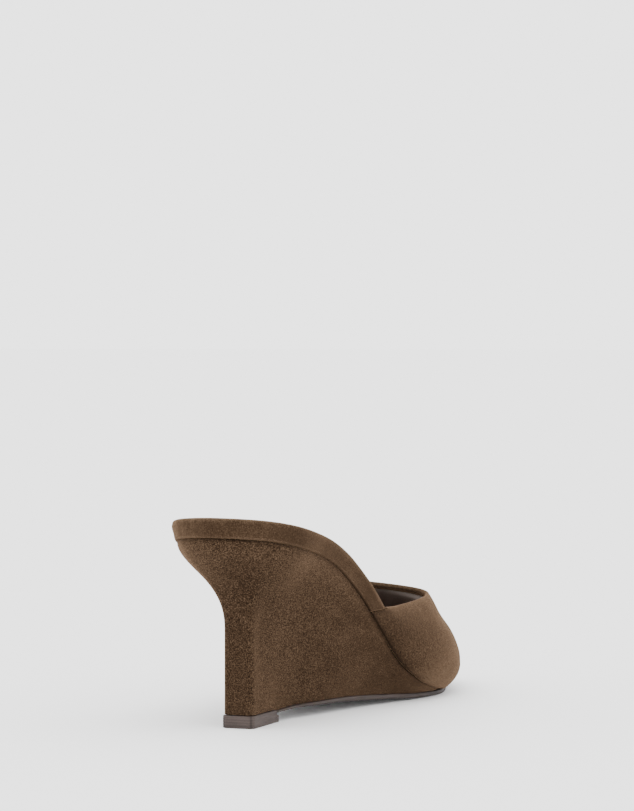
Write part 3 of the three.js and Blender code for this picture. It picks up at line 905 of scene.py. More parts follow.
@dataclass(frozen=True)
class SoleRubber:
    """Grey-brown rubber with fine level lines on its edge and a fine tread underneath."""

    name: str = "sole_rubber"
    dark: Colour = (0.0185, 0.0127, 0.0108)
    light: Colour = (0.073, 0.0525, 0.046)
    dust: Grain = Grain((0.5, 0.5, 0.5), 3.0, 0.6, tone=0.7, relief=0.25)
    lines: Grain = Grain((30.0, 30.0, 0.8), 2.0, 0.6, tone=1.3)
    slow: Grain = Grain((10.0, 10.0, 4.0), 2.0, tone=0.5)
    painted_shade_tone: float = 0.6
    specular: float = 0.25
    roughness: float = 0.62
    dust_roughness: float = 0.2
    tread_pitch: float = 2.2
    tread_edge: float = 0.25
    tread_depth: float = 0.3
    depth: float = 0.12

    def material(self) -> bpy.types.Material:
        """Level lines on the walls, small lozenges on the tread and fine dust all over.

        Returns:
            The material.
        """
        g = Graph.of_material(self.name)
        dust, lines, slow = g.noise(self.dust), g.noise(self.lines), g.noise(self.slow)
        x, y, _ = g.parts(g.place())
        tread, wall = g.mark("tread"), 1.0 - g.mark("tread")
        wave = 2.0 * np.pi / (self.tread_pitch * MM)
        lozenge = (x * wave + y * wave).sine() * (x * wave - y * wave).sine()
        tone = (dust - 0.5) * self.dust.tone + (lines - 0.5) * self.lines.tone * wall
        # Darker where shade is painted.
        tone = tone + (slow - 0.5) * self.slow.tone + 0.5 - g.mark("seam") * self.painted_shade_tone
        relief = g.bump(lines * wall + dust * self.dust.relief, self.depth)
        cut = lozenge.ease(-self.tread_edge, self.tread_edge) * tread
        return g.finish(
            {
                "Base Color": g.mix(self.dark, self.light, tone.clamp()),
                "Roughness": self.roughness + (dust - 0.5) * self.dust_roughness,
                "Specular IOR Level": self.specular,
                "Normal": g.bump(cut, self.tread_depth, relief),
            }
        )


@dataclass(frozen=True)
class Backdrop:
    """Plain pale floor."""

    name: str = "floor"
    colour: Colour = (0.97, 0.97, 0.97)
    roughness: float = 0.9
    specular: float = 0.1
    glow: float = 0.03

    def material(self) -> bpy.types.Material:
        """Even matt paint that glows a little, as a lit table does, so that shadows stay soft.

        Returns:
            The material.
        """
        return Graph.of_material(self.name).finish(
            {
                "Base Color": (*self.colour, 1.0),
                "Roughness": self.roughness,
                "Specular IOR Level": self.specular,
                "Emission Color": (1.0, 1.0, 1.0, 1.0),
                "Emission Strength": self.glow,
            }
        )


@dataclass(frozen=True)
class Finishes:
    """The shoe's materials."""

    suede: bpy.types.Material
    lining: bpy.types.Material
    sock: bpy.types.Material
    rubber: bpy.types.Material


# Pieces


class UpperFace(Enum):
    """Finish of a face of the upper or the footbed, as the place of its material."""

    SUEDE = 0
    LEATHER = 1


@dataclass(frozen=True)
class Nap:
    """How coarse the suede's nap looks, from the heel to the toe."""

    heel: float = 1.0
    toe: float = 0.5
    heel_station: float = 40.0
    toe_station: float = 150.0

    def at(self, rows: FloatArray) -> FloatArray:
        """Strength of the nap at points: an ease between the two stations."""
        share = smoothstep(rows[..., 1], self.heel_station, self.toe_station)
        return self.heel + (self.toe - self.heel) * share


@dataclass(frozen=True)
class Footbed:
    """Padded board with a suede-wrapped edge, cut back for the upper's wall ahead of the seam."""

    last: Last
    band_thickness: float = 7.7
    forepart_thickness: float = 4.6
    band_outset: float = 1.8
    seam_station: float = 90.5
    seam_lean: float = 5.5
    seam_round: float = 0.55
    rebate: float = 2.1
    forepart_round: float = 0.4
    forepart_curve: float = 1.8
    seam_crowding: float = 1.15
    insole_margin: float = 3.2
    insole_forepart_margin: float = 0.8
    insole_clearance: float = 0.45
    insole_ease: float = 20.0
    recess: float = 1.6
    rim_round: float = 0.5
    rim_steps: tuple[float, ...] = (0.0, 0.5, 1.0)
    bed_steps: tuple[float, ...] = (0.0, 0.05, 0.3, 0.65, 1.0)
    columns_behind: int = 150
    columns_ahead: int = 90
    edge_rows: int = 40
    upper_edge_highlight: Peak = Peak(0.84, 0.12, 0.8)
    lower_edge_highlight: Peak = Peak(0.12, 0.04, 0.5)
    side_highlight: Peak = Peak(0.82, 0.07, 1.5)
    side_highlight_ease: Ease = Ease(55.0, 80.0)
    heel_highlight: float = 0.3
    heel_highlight_ease: Ease = Ease(4.0, 34.0)
    foot_shade: Peak = Peak(0.02, 0.05)
    nap: Nap = Nap(0.62, 0.6)

    def seam_turn(self, rise: float) -> float:
        """Turn of the side seam, at a share of the band's thickness."""
        return float(self.last.turn_at(self.seam_station + self.seam_lean * rise))

    def thickness(self, turn: FloatArray) -> FloatArray:
        """Thickness of the footbed, easing from the seat's to the forepart's.

        Args:
            turn: Places from the heel to the toe.

        Returns:
            The thickness there.
        """
        ball = float(self.last.turn_at(self.last.ball_station))
        ahead = smoothstep(turn, self.seam_turn(1.0), ball)
        return self.band_thickness + (self.forepart_thickness - self.band_thickness) * ahead

    def insole_inset(self, turn: FloatArray) -> FloatArray:
        """Distance of the insole's edge from the feather line.

        Args:
            turn: Places from the heel to the toe.

        Returns:
            The distance there.
        """
        start = self.seam_station + self.seam_lean
        ahead = smoothstep(self.last.station_at(turn), start, start + self.insole_ease)
        return self.insole_margin + ahead * (self.insole_forepart_margin - self.insole_margin)

    def turns(self, rise: float) -> tuple[FloatArray, IntArray]:
        """Places along one side, closer together near the seam, and which lie ahead of it.

        Args:
            rise: Share of the band's thickness.

        Returns:
            The places, and 1 for those ahead of the seam.
        """
        seam = self.seam_turn(rise)
        share = np.linspace(0.0, 1.0, self.columns_behind)
        behind = seam * (1.0 - (1.0 - share) ** self.seam_crowding)
        ahead = seam + (1.0 - seam) * np.linspace(0.0, 1.0, self.columns_ahead)
        flags = np.concatenate([np.zeros(len(behind), int), np.ones(len(ahead), int)])
        return np.concatenate([behind, ahead]), flags

    def edge(self, rise: float, out: float) -> FloatArray:
        """One ring of the wrapped edge, rounded in towards the seam.

        Args:
            rise: Share of the thickness.
            out: Share of the outset.

        Returns:
            The ring's points.
        """
        turns, flags = self.turns(rise)
        seam = self.last.station_at(self.seam_turn(rise))
        station = self.last.station_at(turns)
        rounded = round_in(self.seam_round, seam - station)
        lean = FOREPART_LEAN.curve("lean")(station / self.last.sole_length)
        cut_back = self.rebate * (1.0 - lean * rise**self.forepart_curve)
        cut_back = cut_back + max(-out, 0.0) * self.band_outset * self.forepart_round
        inward = np.where(flags == 1, cut_back, -out * self.band_outset + rounded)

        def point(at: FloatArray, side: float) -> FloatArray:
            """Point of the ring.

            Args:
                at: Places along the side.
                side: Sign of the side.

            Returns:
                The points.
            """
            chosen = inward if side > 0 else inward[-2:0:-1]
            plan = self.last.plan(at, side, -chosen)
            return self.last.on_seat(plan, rise * self.thickness(at))

        return ring(turns, point)

    def top(self, height: float, share: float) -> FloatArray:
        """Ring on the footbed's top, from the recess's edge, share 0, to the spine, share 1.

        Args:
            height: Height over the top.
            share: Share of the way to the spine.

        Returns:
            The ring's points.
        """
        turns, _ = self.turns(1.0)

        def point(at: FloatArray, side: float) -> FloatArray:
            """Point of the ring.

            Args:
                at: Places along the side.
                side: Sign of the side.

            Returns:
                The points.
            """
            edge = self.last.plan(at, side, -self.insole_inset(at) + self.insole_clearance)
            spine = self.last.spine(self.last.station_at(at))
            return self.last.on_seat(edge + (spine - edge) * share, self.thickness(at) + height)

        return ring(turns, point)

    def build(self) -> Body:
        """Rings up the wrapped edge, over the rim and down into the insole's recess.

        Returns:
            The closed body.
        """
        along = np.linspace(0.0, 1.0, self.edge_rows)
        rises = BAND_SECTION.curve("rise")(along)
        outs = BAND_SECTION.curve("out")(along)
        turns, flags = self.turns(0.0)

        def under(at: FloatArray, side: float) -> FloatArray:
            """Spine of the underside."""
            return self.last.on_seat(self.last.spine(self.last.station_at(at)), 0.0)

        floor = ring(turns, under)
        edges = [self.edge(float(rise), float(out)) for rise, out in zip(rises, outs)]
        bottom = between(floor, edges[0], (0.0, 0.5))
        rim = [self.top(-self.rim_round * share**2, 0.0) for share in self.rim_steps]
        bed = [self.top(-self.recess, share) for share in self.bed_steps]
        rows = np.stack([*bottom, *edges, *rim, *bed])
        painted_light, seam = np.zeros(rows.shape[:2]), np.zeros(rows.shape[:2])
        span = slice(len(bottom), len(bottom) + self.edge_rows)
        station = rows[span, :, 1]
        # Painted highlights along the wrapped edge's upper and lower rims, at the heel and on the
        # upper rim before the seam, and painted shade along its lower edge.
        painted_light[span] = (self.upper_edge_highlight.at(along) + self.lower_edge_highlight.at(along))[:, None]
        painted_light[span] += self.heel_highlight * (1.0 - self.heel_highlight_ease.at(station))
        painted_light[span] += self.side_highlight.at(along)[:, None] * self.side_highlight_ease.at(station)
        seam[span] = self.foot_shade.at(along)[:, None]
        # Ahead of the seam the footbed gets no painted highlight, its lower half is painted dark
        # as it lies in shade, and its upper half wears the insole's leather.
        ahead = around(flags)
        middle = len(bottom) + self.edge_rows // 2
        painted_light *= 1.0 - ahead
        seam[:middle] += 1.0 * (ahead == 1)
        lined = np.minimum(ahead, np.roll(ahead, -1))[None, :] == 1
        raised = np.arange(len(rows) - 1)[:, None] >= middle
        finish = np.where(lined & raised, UpperFace.LEATHER.value, UpperFace.SUEDE.value)
        marks = {"painted_light": painted_light, "seam": seam, "nap": self.nap.at(rows)}
        return Body(rows, finish=finish, marks=marks)

    def dress(self, finishes: Finishes) -> bpy.types.Object:
        """Makes the piece and ties it to the frame.

        Args:
            finishes: The shoe's materials.

        Returns:
            The piece.
        """
        materials = [finishes.suede, finishes.sock]
        piece = make_object("footbed_wrapped", self.build(), self.last, materials)
        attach(piece, "root")
        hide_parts("footbed")
        return piece


@dataclass(frozen=True)
class Insole:
    """Thin leather sock, sunk into the footbed and dished under heel and ball."""

    last: Last
    footbed: Footbed
    thickness: float = 1.0
    sink: float = 0.3
    edge_round: float = 0.6
    dish: float = 0.55
    heel_station: float = 30.0
    ball_station: float = 150.0
    dish_length: float = 26.0
    dish_narrowness: float = 0.7
    dish_ease: Ease = Ease(0.0, 0.5)
    columns: int = 170
    rings: int = 26
    round_rows: int = 6
    shaded_rows: int = 3

    def dip(self, plan: FloatArray) -> FloatArray:
        """Depth of the two dishes: bells about the heel and the ball.

        Args:
            plan: X and station, in the last axis.

        Returns:
            The depth there.
        """
        heel = bell(plan[..., 1], self.heel_station, self.dish_length)
        ball = bell(plan[..., 1], self.ball_station, self.dish_length)
        across = bell(plan[..., 0], 0.0, self.dish_length * self.dish_narrowness)
        return self.dish * (heel + ball) * across

    def layer(self, height: float, inward: float, share: float, dished: bool) -> FloatArray:
        """Ring at a height over the footbed's top.

        Args:
            height: Height over the footbed's top.
            inward: Distance in from the insole's edge.
            share: Share of the way from there to the spine.
            dished: Whether the dishes lower it.

        Returns:
            The ring's points.
        """

        def point(at: FloatArray, side: float) -> FloatArray:
            """Point of the ring.

            Args:
                at: Places along the side.
                side: Sign of the side.

            Returns:
                The points.
            """
            edge = self.last.plan(at, side, -self.footbed.insole_inset(at) - inward)
            spine = self.last.spine(self.last.station_at(at))
            plan = edge + (spine - edge) * share
            lowered = self.dip(plan) * self.dish_ease.at(share) if dished else 0.0
            return self.last.on_seat(plan, self.footbed.thickness(at) + height - lowered)

        return ring(np.linspace(0.0, 1.0, self.columns), point)

    def build(self) -> Body:
        """Rings over the underside, round the edge and over the dished face.

        Returns:
            The closed body.
        """
        under = -self.sink - self.thickness
        angles = np.linspace(0.0, np.pi / 2, self.round_rows)
        lows = -self.sink - self.edge_round * (1 - np.sin(angles))
        ins = self.edge_round * (1 - np.cos(angles))
        rounds = [self.layer(low, inward, 0.0, True) for low, inward in zip(lows, ins)]
        shares = np.linspace(0, 1, self.rings)[1:]
        face = [self.layer(-self.sink, self.edge_round, share, True) for share in shares]
        below = [self.layer(under, 0.0, share, False) for share in (1.0, 0.5, 0.0)]
        rows = np.stack([*below, *rounds, *face])
        seam = np.zeros(rows.shape[:2])
        # Painted shade on the rows that round the edge.
        seam[len(below) : len(below) + self.shaded_rows] = 1.0
        return Body(rows, marks={"seam": seam})

    def dress(self, finishes: Finishes) -> bpy.types.Object:
        """Makes the piece and ties it to the frame.

        Args:
            finishes: The shoe's materials.

        Returns:
            The piece.
        """
        piece = make_object("insole_sock", self.build(), self.last, [finishes.sock])
        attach(piece, "root")
        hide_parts("insole")
        return piece


@dataclass(frozen=True)
class HeelTip:
    """Small rubber top piece with rounded rear corners and a low front lip."""

    last: Last
    length: float = 25.7
    width: float = 13.5
    thickness: float = 4.9
    lip_length: float = 2.0
    lip_thickness: float = 2.8
    corner: float = 2.4
    rear: float = 20.5
    bevel: float = 0.3
    groove: float = 0.07
    grooves: float = 5.0
    groove_power: int = 3
    # Painted shade down each rear corner.
    crease: Peak = Peak(0.6, 0.16)
    face_step: float = 0.4
    face_columns: int = 8
    corner_columns: int = 14
    side_columns: int = 21
    lip_columns: int = 6
    wall_rows: int = 40

    @property
    def front(self) -> float:
        """Station of the tip's front face."""
        return self.rear + self.length

    def outline(self, inward: float) -> tuple[FloatArray, FloatArray]:
        """Half outline: across the rear, round the corner, along the side, across the front.

        Args:
            inward: Distance in from the tip's edge.

        Returns:
            The outline's X and station, and the tip's height at each point.
        """
        half, radius = self.width / 2 - inward, self.corner - inward
        rear, front = self.rear + inward, self.front - inward
        lip = self.front - self.lip_length
        angle = np.linspace(0.0, np.pi / 2, self.corner_columns)
        face = np.linspace([0.0, rear], [half - radius, rear], self.face_columns)[:-1]
        round_x = half - radius + radius * np.sin(angle)
        arc = np.column_stack([round_x, rear + radius * (1 - np.cos(angle))])
        flank = np.linspace([half, rear + radius], [half, lip], self.side_columns)[1:]
        beside_lip = np.linspace([half, lip], [half, front], self.lip_columns)
        end = np.linspace([half, front], [0.0, front], self.face_columns)[1:]
        path = np.concatenate([face, arc, flank, beside_lip, end])
        tall = len(face) + len(arc) + len(flank)
        heights = np.where(np.arange(len(path)) < tall, self.thickness, self.lip_thickness)
        return path, heights

    def layer(self, level: float, inward: float, share: float) -> FloatArray:
        """Ring at a share of the tip's height.

        Args:
            level: Share of the height.
            inward: Distance in from the edge.
            share: Share of the way to the middle line.

        Returns:
            The ring's points.
        """
        path, heights = self.outline(inward)
        outer = np.column_stack([path[:, 0] * (1.0 - share), path[:, 1], heights * level])
        inner = outer[-2:0:-1] * np.array([-1.0, 1.0, 1.0])
        return np.concatenate([outer, inner])

    def build(self) -> Body:
        """Rings up the wall with fine level grooves, closed along the middle line.

        Returns:
            The closed body.
        """
        level = np.linspace(0.0, 1.0, self.wall_rows)
        near_end = np.minimum(level, 1.0 - level) * self.thickness
        bevel = self.bevel * (1.0 - smoothstep(near_end, 0.0, self.bevel)) ** 2
        wave = np.clip(np.cos(level * 2 * np.pi * self.grooves), 0.0, 1.0)
        groove = self.groove * wave**self.groove_power
        walls = [self.layer(float(v), float(b), 0.0) for v, b in zip(level, bevel + groove)]
        under = [self.layer(0.0, self.bevel, share) for share in (1.0, self.face_step)]
        over = [self.layer(1.0, self.bevel, share) for share in (self.face_step, 1.0)]
        rows = np.stack([*under, *walls, *over])
        # Painted shade: a dark line down each rear corner, where the rear face turns into the
        # side, at an angle about the corner's middle.
        past = np.abs(rows[..., 0]) - (self.width / 2 - self.corner)
        behind = self.rear + self.corner - rows[..., 1]
        seam = self.crease.at(np.arctan2(past, behind)) * (past > 0) * (behind > 0)
        return Body(rows, marks={"seam": seam, "tread": np.zeros(rows.shape[:2])})

    def dress(self, finishes: Finishes) -> bpy.types.Object:
        """Makes the piece and ties it to the frame.

        Args:
            finishes: The shoe's materials.

        Returns:
            The piece.
        """
        piece = make_object("heel_top_piece", self.build(), self.last, [finishes.rubber])
        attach(piece, "root")
        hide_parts("heel_tip")
        return piece


@dataclass(frozen=True)
class Outsole:
    """Thin rubber sole from the heel tip along the arch to the toe."""

    last: Last
    tip: HeelTip
    thickness: float = 2.0
    rear_thickness: float = 0.8
    skive_length: float = 60.0
    arch_rise: float = 4.4
    setback: float = 1.5
    ledge: float = 0.5
    edge_round: float = 0.35
    edge_power: int = 4
    face_steps: tuple[float, ...] = (0.06, 0.3, 0.65, 1.0)
    edge_shade: float = 0.22
    toe_shade: float = 0.5
    toe_shade_ease: Ease = Ease(125.0, 170.0)
    tread_shade: float = 0.9
    tread_ease: Ease = Ease(118.0, 126.0)
    shaded_rows: int = 2
    columns: int = 200
    wall_rows: int = 10

    @property
    def rear(self) -> float:
        """Station of the outsole's rear end."""
        return self.tip.front - self.tip.lip_length + self.last.fit_gap

    @property
    def front(self) -> float:
        """Station of the outsole's toe."""
        return self.last.sole_length - self.setback

    def turn_at(self, station: FloatArray) -> FloatArray:
        """The turn that reaches a station."""
        share = np.clip((station - self.rear) / (self.front - self.rear), 0.0, 1.0)
        return 2.0 / np.pi * np.arcsin(share)

    def plan(self, turn: FloatArray, side: float) -> FloatArray:
        """Outline: breadth times the cosine of the quarter turn.

        Args:
            turn: Places from the rear end to the toe.
            side: Sign of the side.

        Returns:
            X and station of each place.
        """
        angle = np.pi / 2 * np.asarray(turn, float)
        half = OUTSOLE_PLAN.curve("breadth")(turn) * np.cos(angle)
        x = self.last.half_ball * (side * half + OUTSOLE_PLAN.curve("drift")(turn))
        return np.stack([x, self.rear + (self.front - self.rear) * np.sin(angle)], -1)

    def underside(self, station: FloatArray) -> FloatArray:
        """Height of the underside above the floor."""
        back = (self.last.ball_station - station) / (self.last.ball_station - self.rear)
        return self.arch_rise * ARCH_PROFILE.curve("rise")(back) + self.last.spring(station)

    def top(self, station: FloatArray) -> FloatArray:
        """Height of the upper face above the floor.

        Args:
            station: Distances from the back of the seat.

        Returns:
            The heights.
        """
        share = smoothstep(station, self.rear, self.rear + self.skive_length)
        thick = self.rear_thickness + (self.thickness - self.rear_thickness) * share
        return self.underside(station) + thick

    def layer(self, level: float, inward: float, share: float) -> FloatArray:
        """Ring at a share of the thickness.

        Args:
            level: Share of the thickness.
            inward: Distance in from the edge.
            share: Share of the way to the middle line.

        Returns:
            The ring's points.
        """
        turns = np.concatenate([[-1.0], np.linspace(0.0, 1.0, self.columns)])

        def point(at: FloatArray, side: float) -> FloatArray:
            """Point of the ring. The first lies in the middle of the rear end.

            Args:
                at: Places along the side.
                side: Sign of the side.

            Returns:
                The points.
            """
            plan = self.plan(np.maximum(at, 0.0), side)
            middle = self.last.half_ball * OUTSOLE_PLAN.curve("drift")(np.maximum(at, 0.0))
            half = np.abs(plan[:, 0] - middle)
            kept = np.maximum(half - inward, 0.0) / np.maximum(half, TINY)
            scale = np.where((half > 0) & (at >= 0), kept, 0.0)
            x = middle + (plan[:, 0] - middle) * scale
            station = np.clip(plan[:, 1], self.rear + inward, self.front - inward)
            held = np.minimum(station, self.front - self.last.spine_margin)
            spine_x = self.last.half_ball * OUTSOLE_PLAN.curve("drift")(self.turn_at(held))
            x, station = x + (spine_x - x) * share, station + (held - station) * share
            low, high = self.underside(station), self.top(station)
            return np.stack([x, station, low + (high - low) * level], -1)

        return ring(turns, point)

    def build(self) -> Body:
        """Rings over the tread, up the rounded edge and over the upper face.

        Returns:
            The closed body.
        """
        level = np.linspace(0.0, 1.0, self.wall_rows)
        rounded = self.edge_round * (np.abs(2 * level - 1) ** self.edge_power)
        walls = [self.layer(float(v), float(r), 0.0) for v, r in zip(level, rounded)]
        under = [self.layer(0.0, self.edge_round, share) for share in reversed(self.face_steps)]
        upper = [self.layer(1.0, self.edge_round, share) for share in self.face_steps]
        rows = np.stack([*under, *walls, *upper])
        station = rows[..., 1]
        tread, seam = np.zeros(rows.shape[:2]), np.zeros(rows.shape[:2])
        # The lozenges end short of the edge.
        below = slice(0, len(under) - 1)
        tread[below] = self.tread_ease.at(station[below])
        edge = slice(len(under), len(under) + self.wall_rows)
        # Painted shade: the edge a little dark and darker towards the toe, and the tread and the
        # edge's lowest rows dark where the floor's shadow falls.
        seam[edge] = self.edge_shade
        seam[edge] += self.toe_shade * self.toe_shade_ease.at(station[edge])
        seam[: len(under) + self.shaded_rows] = self.tread_shade
        return Body(rows, marks={"tread": tread, "seam": seam})

    def dress(self, finishes: Finishes) -> bpy.types.Object:
        """Makes the piece and ties it to the frame.

        Args:
            finishes: The shoe's materials.

        Returns:
            The piece.
        """
        piece = make_object("outsole_rubber", self.build(), self.last, [finishes.rubber])
        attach(piece, "root")
        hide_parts("outsole")
        return piece


@dataclass(frozen=True)
class Wedge:
    """Suede-covered wedge, upright and narrow below, flaring to the seat in a deep hollow."""

    last: Last
    tip: HeelTip
    outsole: Outsole
    step_in: float = 0.7
    rear: float = 21.0
    corner: float = 2.4
    front: float = 154.0
    seam_clear: float = 96.0
    seam_blend: float = 10.0
    face_turn: float = 0.105
    corner_turn: float = 0.15
    follow: float = 20.0
    spread: float = 60.0
    flare_start: float = 0.457
    flare_power: float = 1.45
    side_power: float = 1.25
    edge_round: float = 0.6
    edge_limit: float = 0.4
    front_round: float = 0.15
    foot_round: float = 0.25
    foot_limit: float = 0.3
    inward_limit: float = 0.5
    sole_gap: float = 0.12
    columns: int = 230
    levels: int = 130
    level_margin: float = 0.03
    end_levels: tuple[float, ...] = (0.0, 0.002, 0.005, 0.01, 0.02)
    nap: Nap = Nap(1.5, 0.72, 25.0, 115.0)
    top_highlight: Peak = Peak(0.93, 0.05, 0.25)
    seam_shade: Fade = Fade(1.0, 0.8)
    hollow_shade: float = 0.4
    hollow_across: Peak = Peak(6.0, 9.0)
    hollow_height: Peak = Peak(57.0, 11.0)
    hollow_ease: Ease = Ease(15.0, 40.0)
    low_ease: Ease = Ease(0.35, 0.75)
    rear_shade: float = 0.12
    rear_ease: Ease = Ease(0.1, 0.13)
    ridge_highlight: Peak = Peak(0.14, 0.014, 0.2)
    side_highlight: float = 0.08
    side_ease: Ease = Ease(0.2, 0.3)

    def foot(self, turn: FloatArray, side: float) -> FloatArray:
        """Lower edge: flat rear face, round corner, then beside the outsole's edge.

        Args:
            turn: Places on the upper edge.
            side: Sign of the side.

        Returns:
            X and station of the lower edge beside each place.
        """
        half = self.tip.width / 2 - self.outsole.ledge
        flat = half - self.corner
        share = np.clip((turn - self.face_turn) / (self.corner_turn - self.face_turn), 0.0, 1.0)
        angle = np.pi / 2 * share
        start = float(self.last.station_at(self.corner_turn))
        ahead = np.maximum(self.last.station_at(turn) - start, 0.0)
        lag = self.rear + self.corner - start
        station = self.last.station_at(turn) + lag * np.exp(-ahead / self.follow)
        sole = side * self.outsole.plan(self.outsole.turn_at(station), side)[..., 0]
        corner = self.rear + self.corner
        out = smoothstep(station, corner, corner + self.spread)
        along = np.stack([half + (sole - self.outsole.ledge - half) * out, station], -1)
        round_x = flat + self.corner * np.sin(angle)
        arc = np.stack([round_x, self.rear + self.corner * (1 - np.cos(angle))], -1)
        face = np.stack([flat * turn / self.face_turn, np.full_like(turn, self.rear)], -1)
        path = np.where((turn <= self.corner_turn)[:, None], arc, along)
        path = np.where((turn <= self.face_turn)[:, None], face, path)
        return path * np.array([side, 1.0])

    def underside(self, station: FloatArray) -> FloatArray:
        """Height of the wedge's underside: on the heel tip, then on the outsole.

        Args:
            station: Distances from the back of the seat.

        Returns:
            The heights.
        """
        gap = self.last.fit_gap
        on_tip = self.tip.thickness + gap
        ahead = smoothstep(station, self.outsole.rear - 2 * gap, self.outsole.rear)
        return on_tip + (self.outsole.top(station) + self.sole_gap - on_tip) * ahead

    def flare(self, level: float, station: FloatArray) -> FloatArray:
        """Share of the way out to the upper edge: an eased power at the heel, a power ahead.

        Args:
            level: Share of the wedge's height.
            station: Distances from the back of the seat.

        Returns:
            The share there.
        """
        past = max(level - self.flare_start, 0.0) / (1.0 - self.flare_start)
        eased = past**self.flare_power
        rear = eased * eased * (3.0 - 2.0 * eased)
        heel = WEDGE_FLARE.curve("heel")(station / self.last.sole_length)
        return heel * rear + (1.0 - heel) * level**self.side_power

    def turns(self) -> FloatArray:
        """Places along one side, the last one twice, for the middle of the front edge.

        Returns:
            The places, the repeated one raised by 1.
        """
        front = float(self.last.turn_at(self.front))
        places = np.linspace(0.0, front, self.columns)
        return np.concatenate([places, places[-1:] + 1.0])

    def edges(self, at: FloatArray, side: float) -> tuple[FloatArray, FloatArray]:
        """Points of the upper and the lower edge.

        Args:
            at: Places from turns.
            side: Sign of the side.

        Returns:
            Upper edge and lower edge.
        """
        turn = np.where(at > 1.0, at - 1.0, at)
        middle = self.last.drift(turn)
        plan = self.last.plan(turn, side, -self.step_in)
        foot = self.foot(turn, side)
        plan[:, 0] = np.where(at > 1.0, middle, plan[:, 0])
        foot[:, 0] = np.where(at > 1.0, middle, foot[:, 0])
        plan[:, 1] = np.minimum(plan[:, 1], self.front)
        foot[:, 1] = np.minimum(foot[:, 1], self.front)
        top = self.last.on_seat(plan, -self.last.fit_gap)
        low = np.column_stack([foot, self.underside(foot[:, 1])])
        return top, low

    def layer(self, level: float) -> FloatArray:
        """Ring at a share of the wedge's height, rounded in at its two ends.

        Args:
            level: Share of the height.

        Returns:
            The ring's points.
        """

        def point(at: FloatArray, side: float) -> FloatArray:
            """Point of the ring.

            Args:
                at: Places along the side.
                side: Sign of the side.

            Returns:
                The points.
            """
            top, low = self.edges(at, side)
            share = self.flare(level, top[:, 1])[:, None]
            plan = low[:, :2] + (top[:, :2] - low[:, :2]) * share
            tall = np.maximum(top[:, 2] - low[:, 2], TINY)
            height = low[:, 2] + tall * level
            spine = self.last.spine(plan[:, 1])
            inward = spine - plan
            length = np.maximum(np.linalg.norm(inward, axis=-1, keepdims=True), TINY)
            ahead = smoothstep(top[:, 1], self.seam_clear - self.seam_blend, self.seam_clear)
            radius = self.edge_round + (self.front_round - self.edge_round) * ahead
            turned = round_in(np.minimum(radius, self.edge_limit * tall), top[:, 2] - height)
            radius = np.minimum(self.foot_round, self.foot_limit * tall)
            turned = turned + round_in(radius, height - low[:, 2])
            turned = np.minimum(turned, self.inward_limit * length[:, 0])
            return np.column_stack([plan + inward / length * turned[:, None], height])

        return ring(self.turns(), point)

    def cap(self, upper: bool) -> FloatArray:
        """Middle line of the upper or the lower face, as a folded ring.

        Args:
            upper: Whether it is the upper face.

        Returns:
            The ring's points.
        """

        def point(at: FloatArray, side: float) -> FloatArray:
            """Point of the ring.

            Args:
                at: Places along the side.
                side: Not used; the points lie on the middle line.

            Returns:
                The points.
            """
            top, low = self.edges(at, Side.OUTER.value)
            if upper:
                turn = np.where(at > 1.0, at - 1.0, at)
                station = np.minimum(self.last.station_at(turn), self.front)
                return self.last.on_seat(self.last.spine(station), -self.last.fit_gap)
            spine = self.last.spine(np.maximum(low[:, 1], self.rear + self.corner))
            return np.column_stack([spine, self.underside(spine[:, 1])])

        return ring(self.turns(), point)

    def build(self) -> Body:
        """Rings from the lower face up the hollowed side to the upper face.

        Returns:
            The closed body.
        """
        ends = np.array(self.end_levels)
        inner = np.linspace(self.level_margin, 1.0 - self.level_margin, self.levels)
        level = np.concatenate([ends, inner, 1.0 - ends[::-1]])
        sides = np.stack([self.layer(float(v)) for v in level])
        rows = np.stack([self.cap(False), *sides, self.cap(True)])
        x, station, height = np.moveaxis(sides, -1, 0)
        hollow = self.hollow_across.at(x) * self.hollow_height.at(height)
        hollow = hollow * (1.0 - self.hollow_ease.at(station, self.rear))
        turn = around(self.turns())
        low = (1.0 - self.low_ease.at(level))[:, None]
        painted_light, seam = np.zeros(rows.shape[:2]), np.zeros(rows.shape[:2])
        # Painted shade near the top beside the upper, in the hollow under the seat and low on the
        # rear face.
        seam[1:-1] = self.seam_shade.at(height[-1] - height) + self.hollow_shade * hollow
        seam[1:-1] += self.rear_shade * low * (1.0 - self.rear_ease.at(turn))
        # Painted highlights along the top edge, down the rear corners and low on the sides.
        painted_light[1:-1] = self.top_highlight.at(level)[:, None] + low * self.ridge_highlight.at(turn)
        painted_light[1:-1] += self.side_highlight * low * self.side_ease.at(turn)
        return Body(rows, marks={"painted_light": painted_light, "seam": seam, "nap": self.nap.at(rows)})

    def dress(self, finishes: Finishes) -> bpy.types.Object:
        """Makes the piece and ties it to the frame.

        Args:
            finishes: The shoe's materials.

        Returns:
            The piece.
        """
        piece = make_object("wedge_covered", self.build(), self.last, [finishes.suede])
        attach(piece, "root")
        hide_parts("wedge")
        return piece


@dataclass(frozen=True)
class Crease:
    """Soft trough in the upper, across the sections and along them."""

    turn: float
    turn_width: float
    level: float
    level_width: float
    depth: float
    slant: float = 0.0
    inner_side: float = 1.0

    def depth_at(self, turn: FloatArray, level: FloatArray, side: float) -> FloatArray:
        """Depth of the trough: one bell across it times one along it.

        Args:
            turn: Places from the seam to the toe.
            level: Shares of the way from the feather line to the topline.
            side: Sign of the side.

        Returns:
            Depth in millimetres.
        """
        across = level - self.level - self.slant * (turn - self.turn)
        depth = (1.0 if side > 0 else self.inner_side) * self.depth
        along = bell(turn, self.turn, self.turn_width)
        return depth * along * bell(across, 0.0, self.level_width)


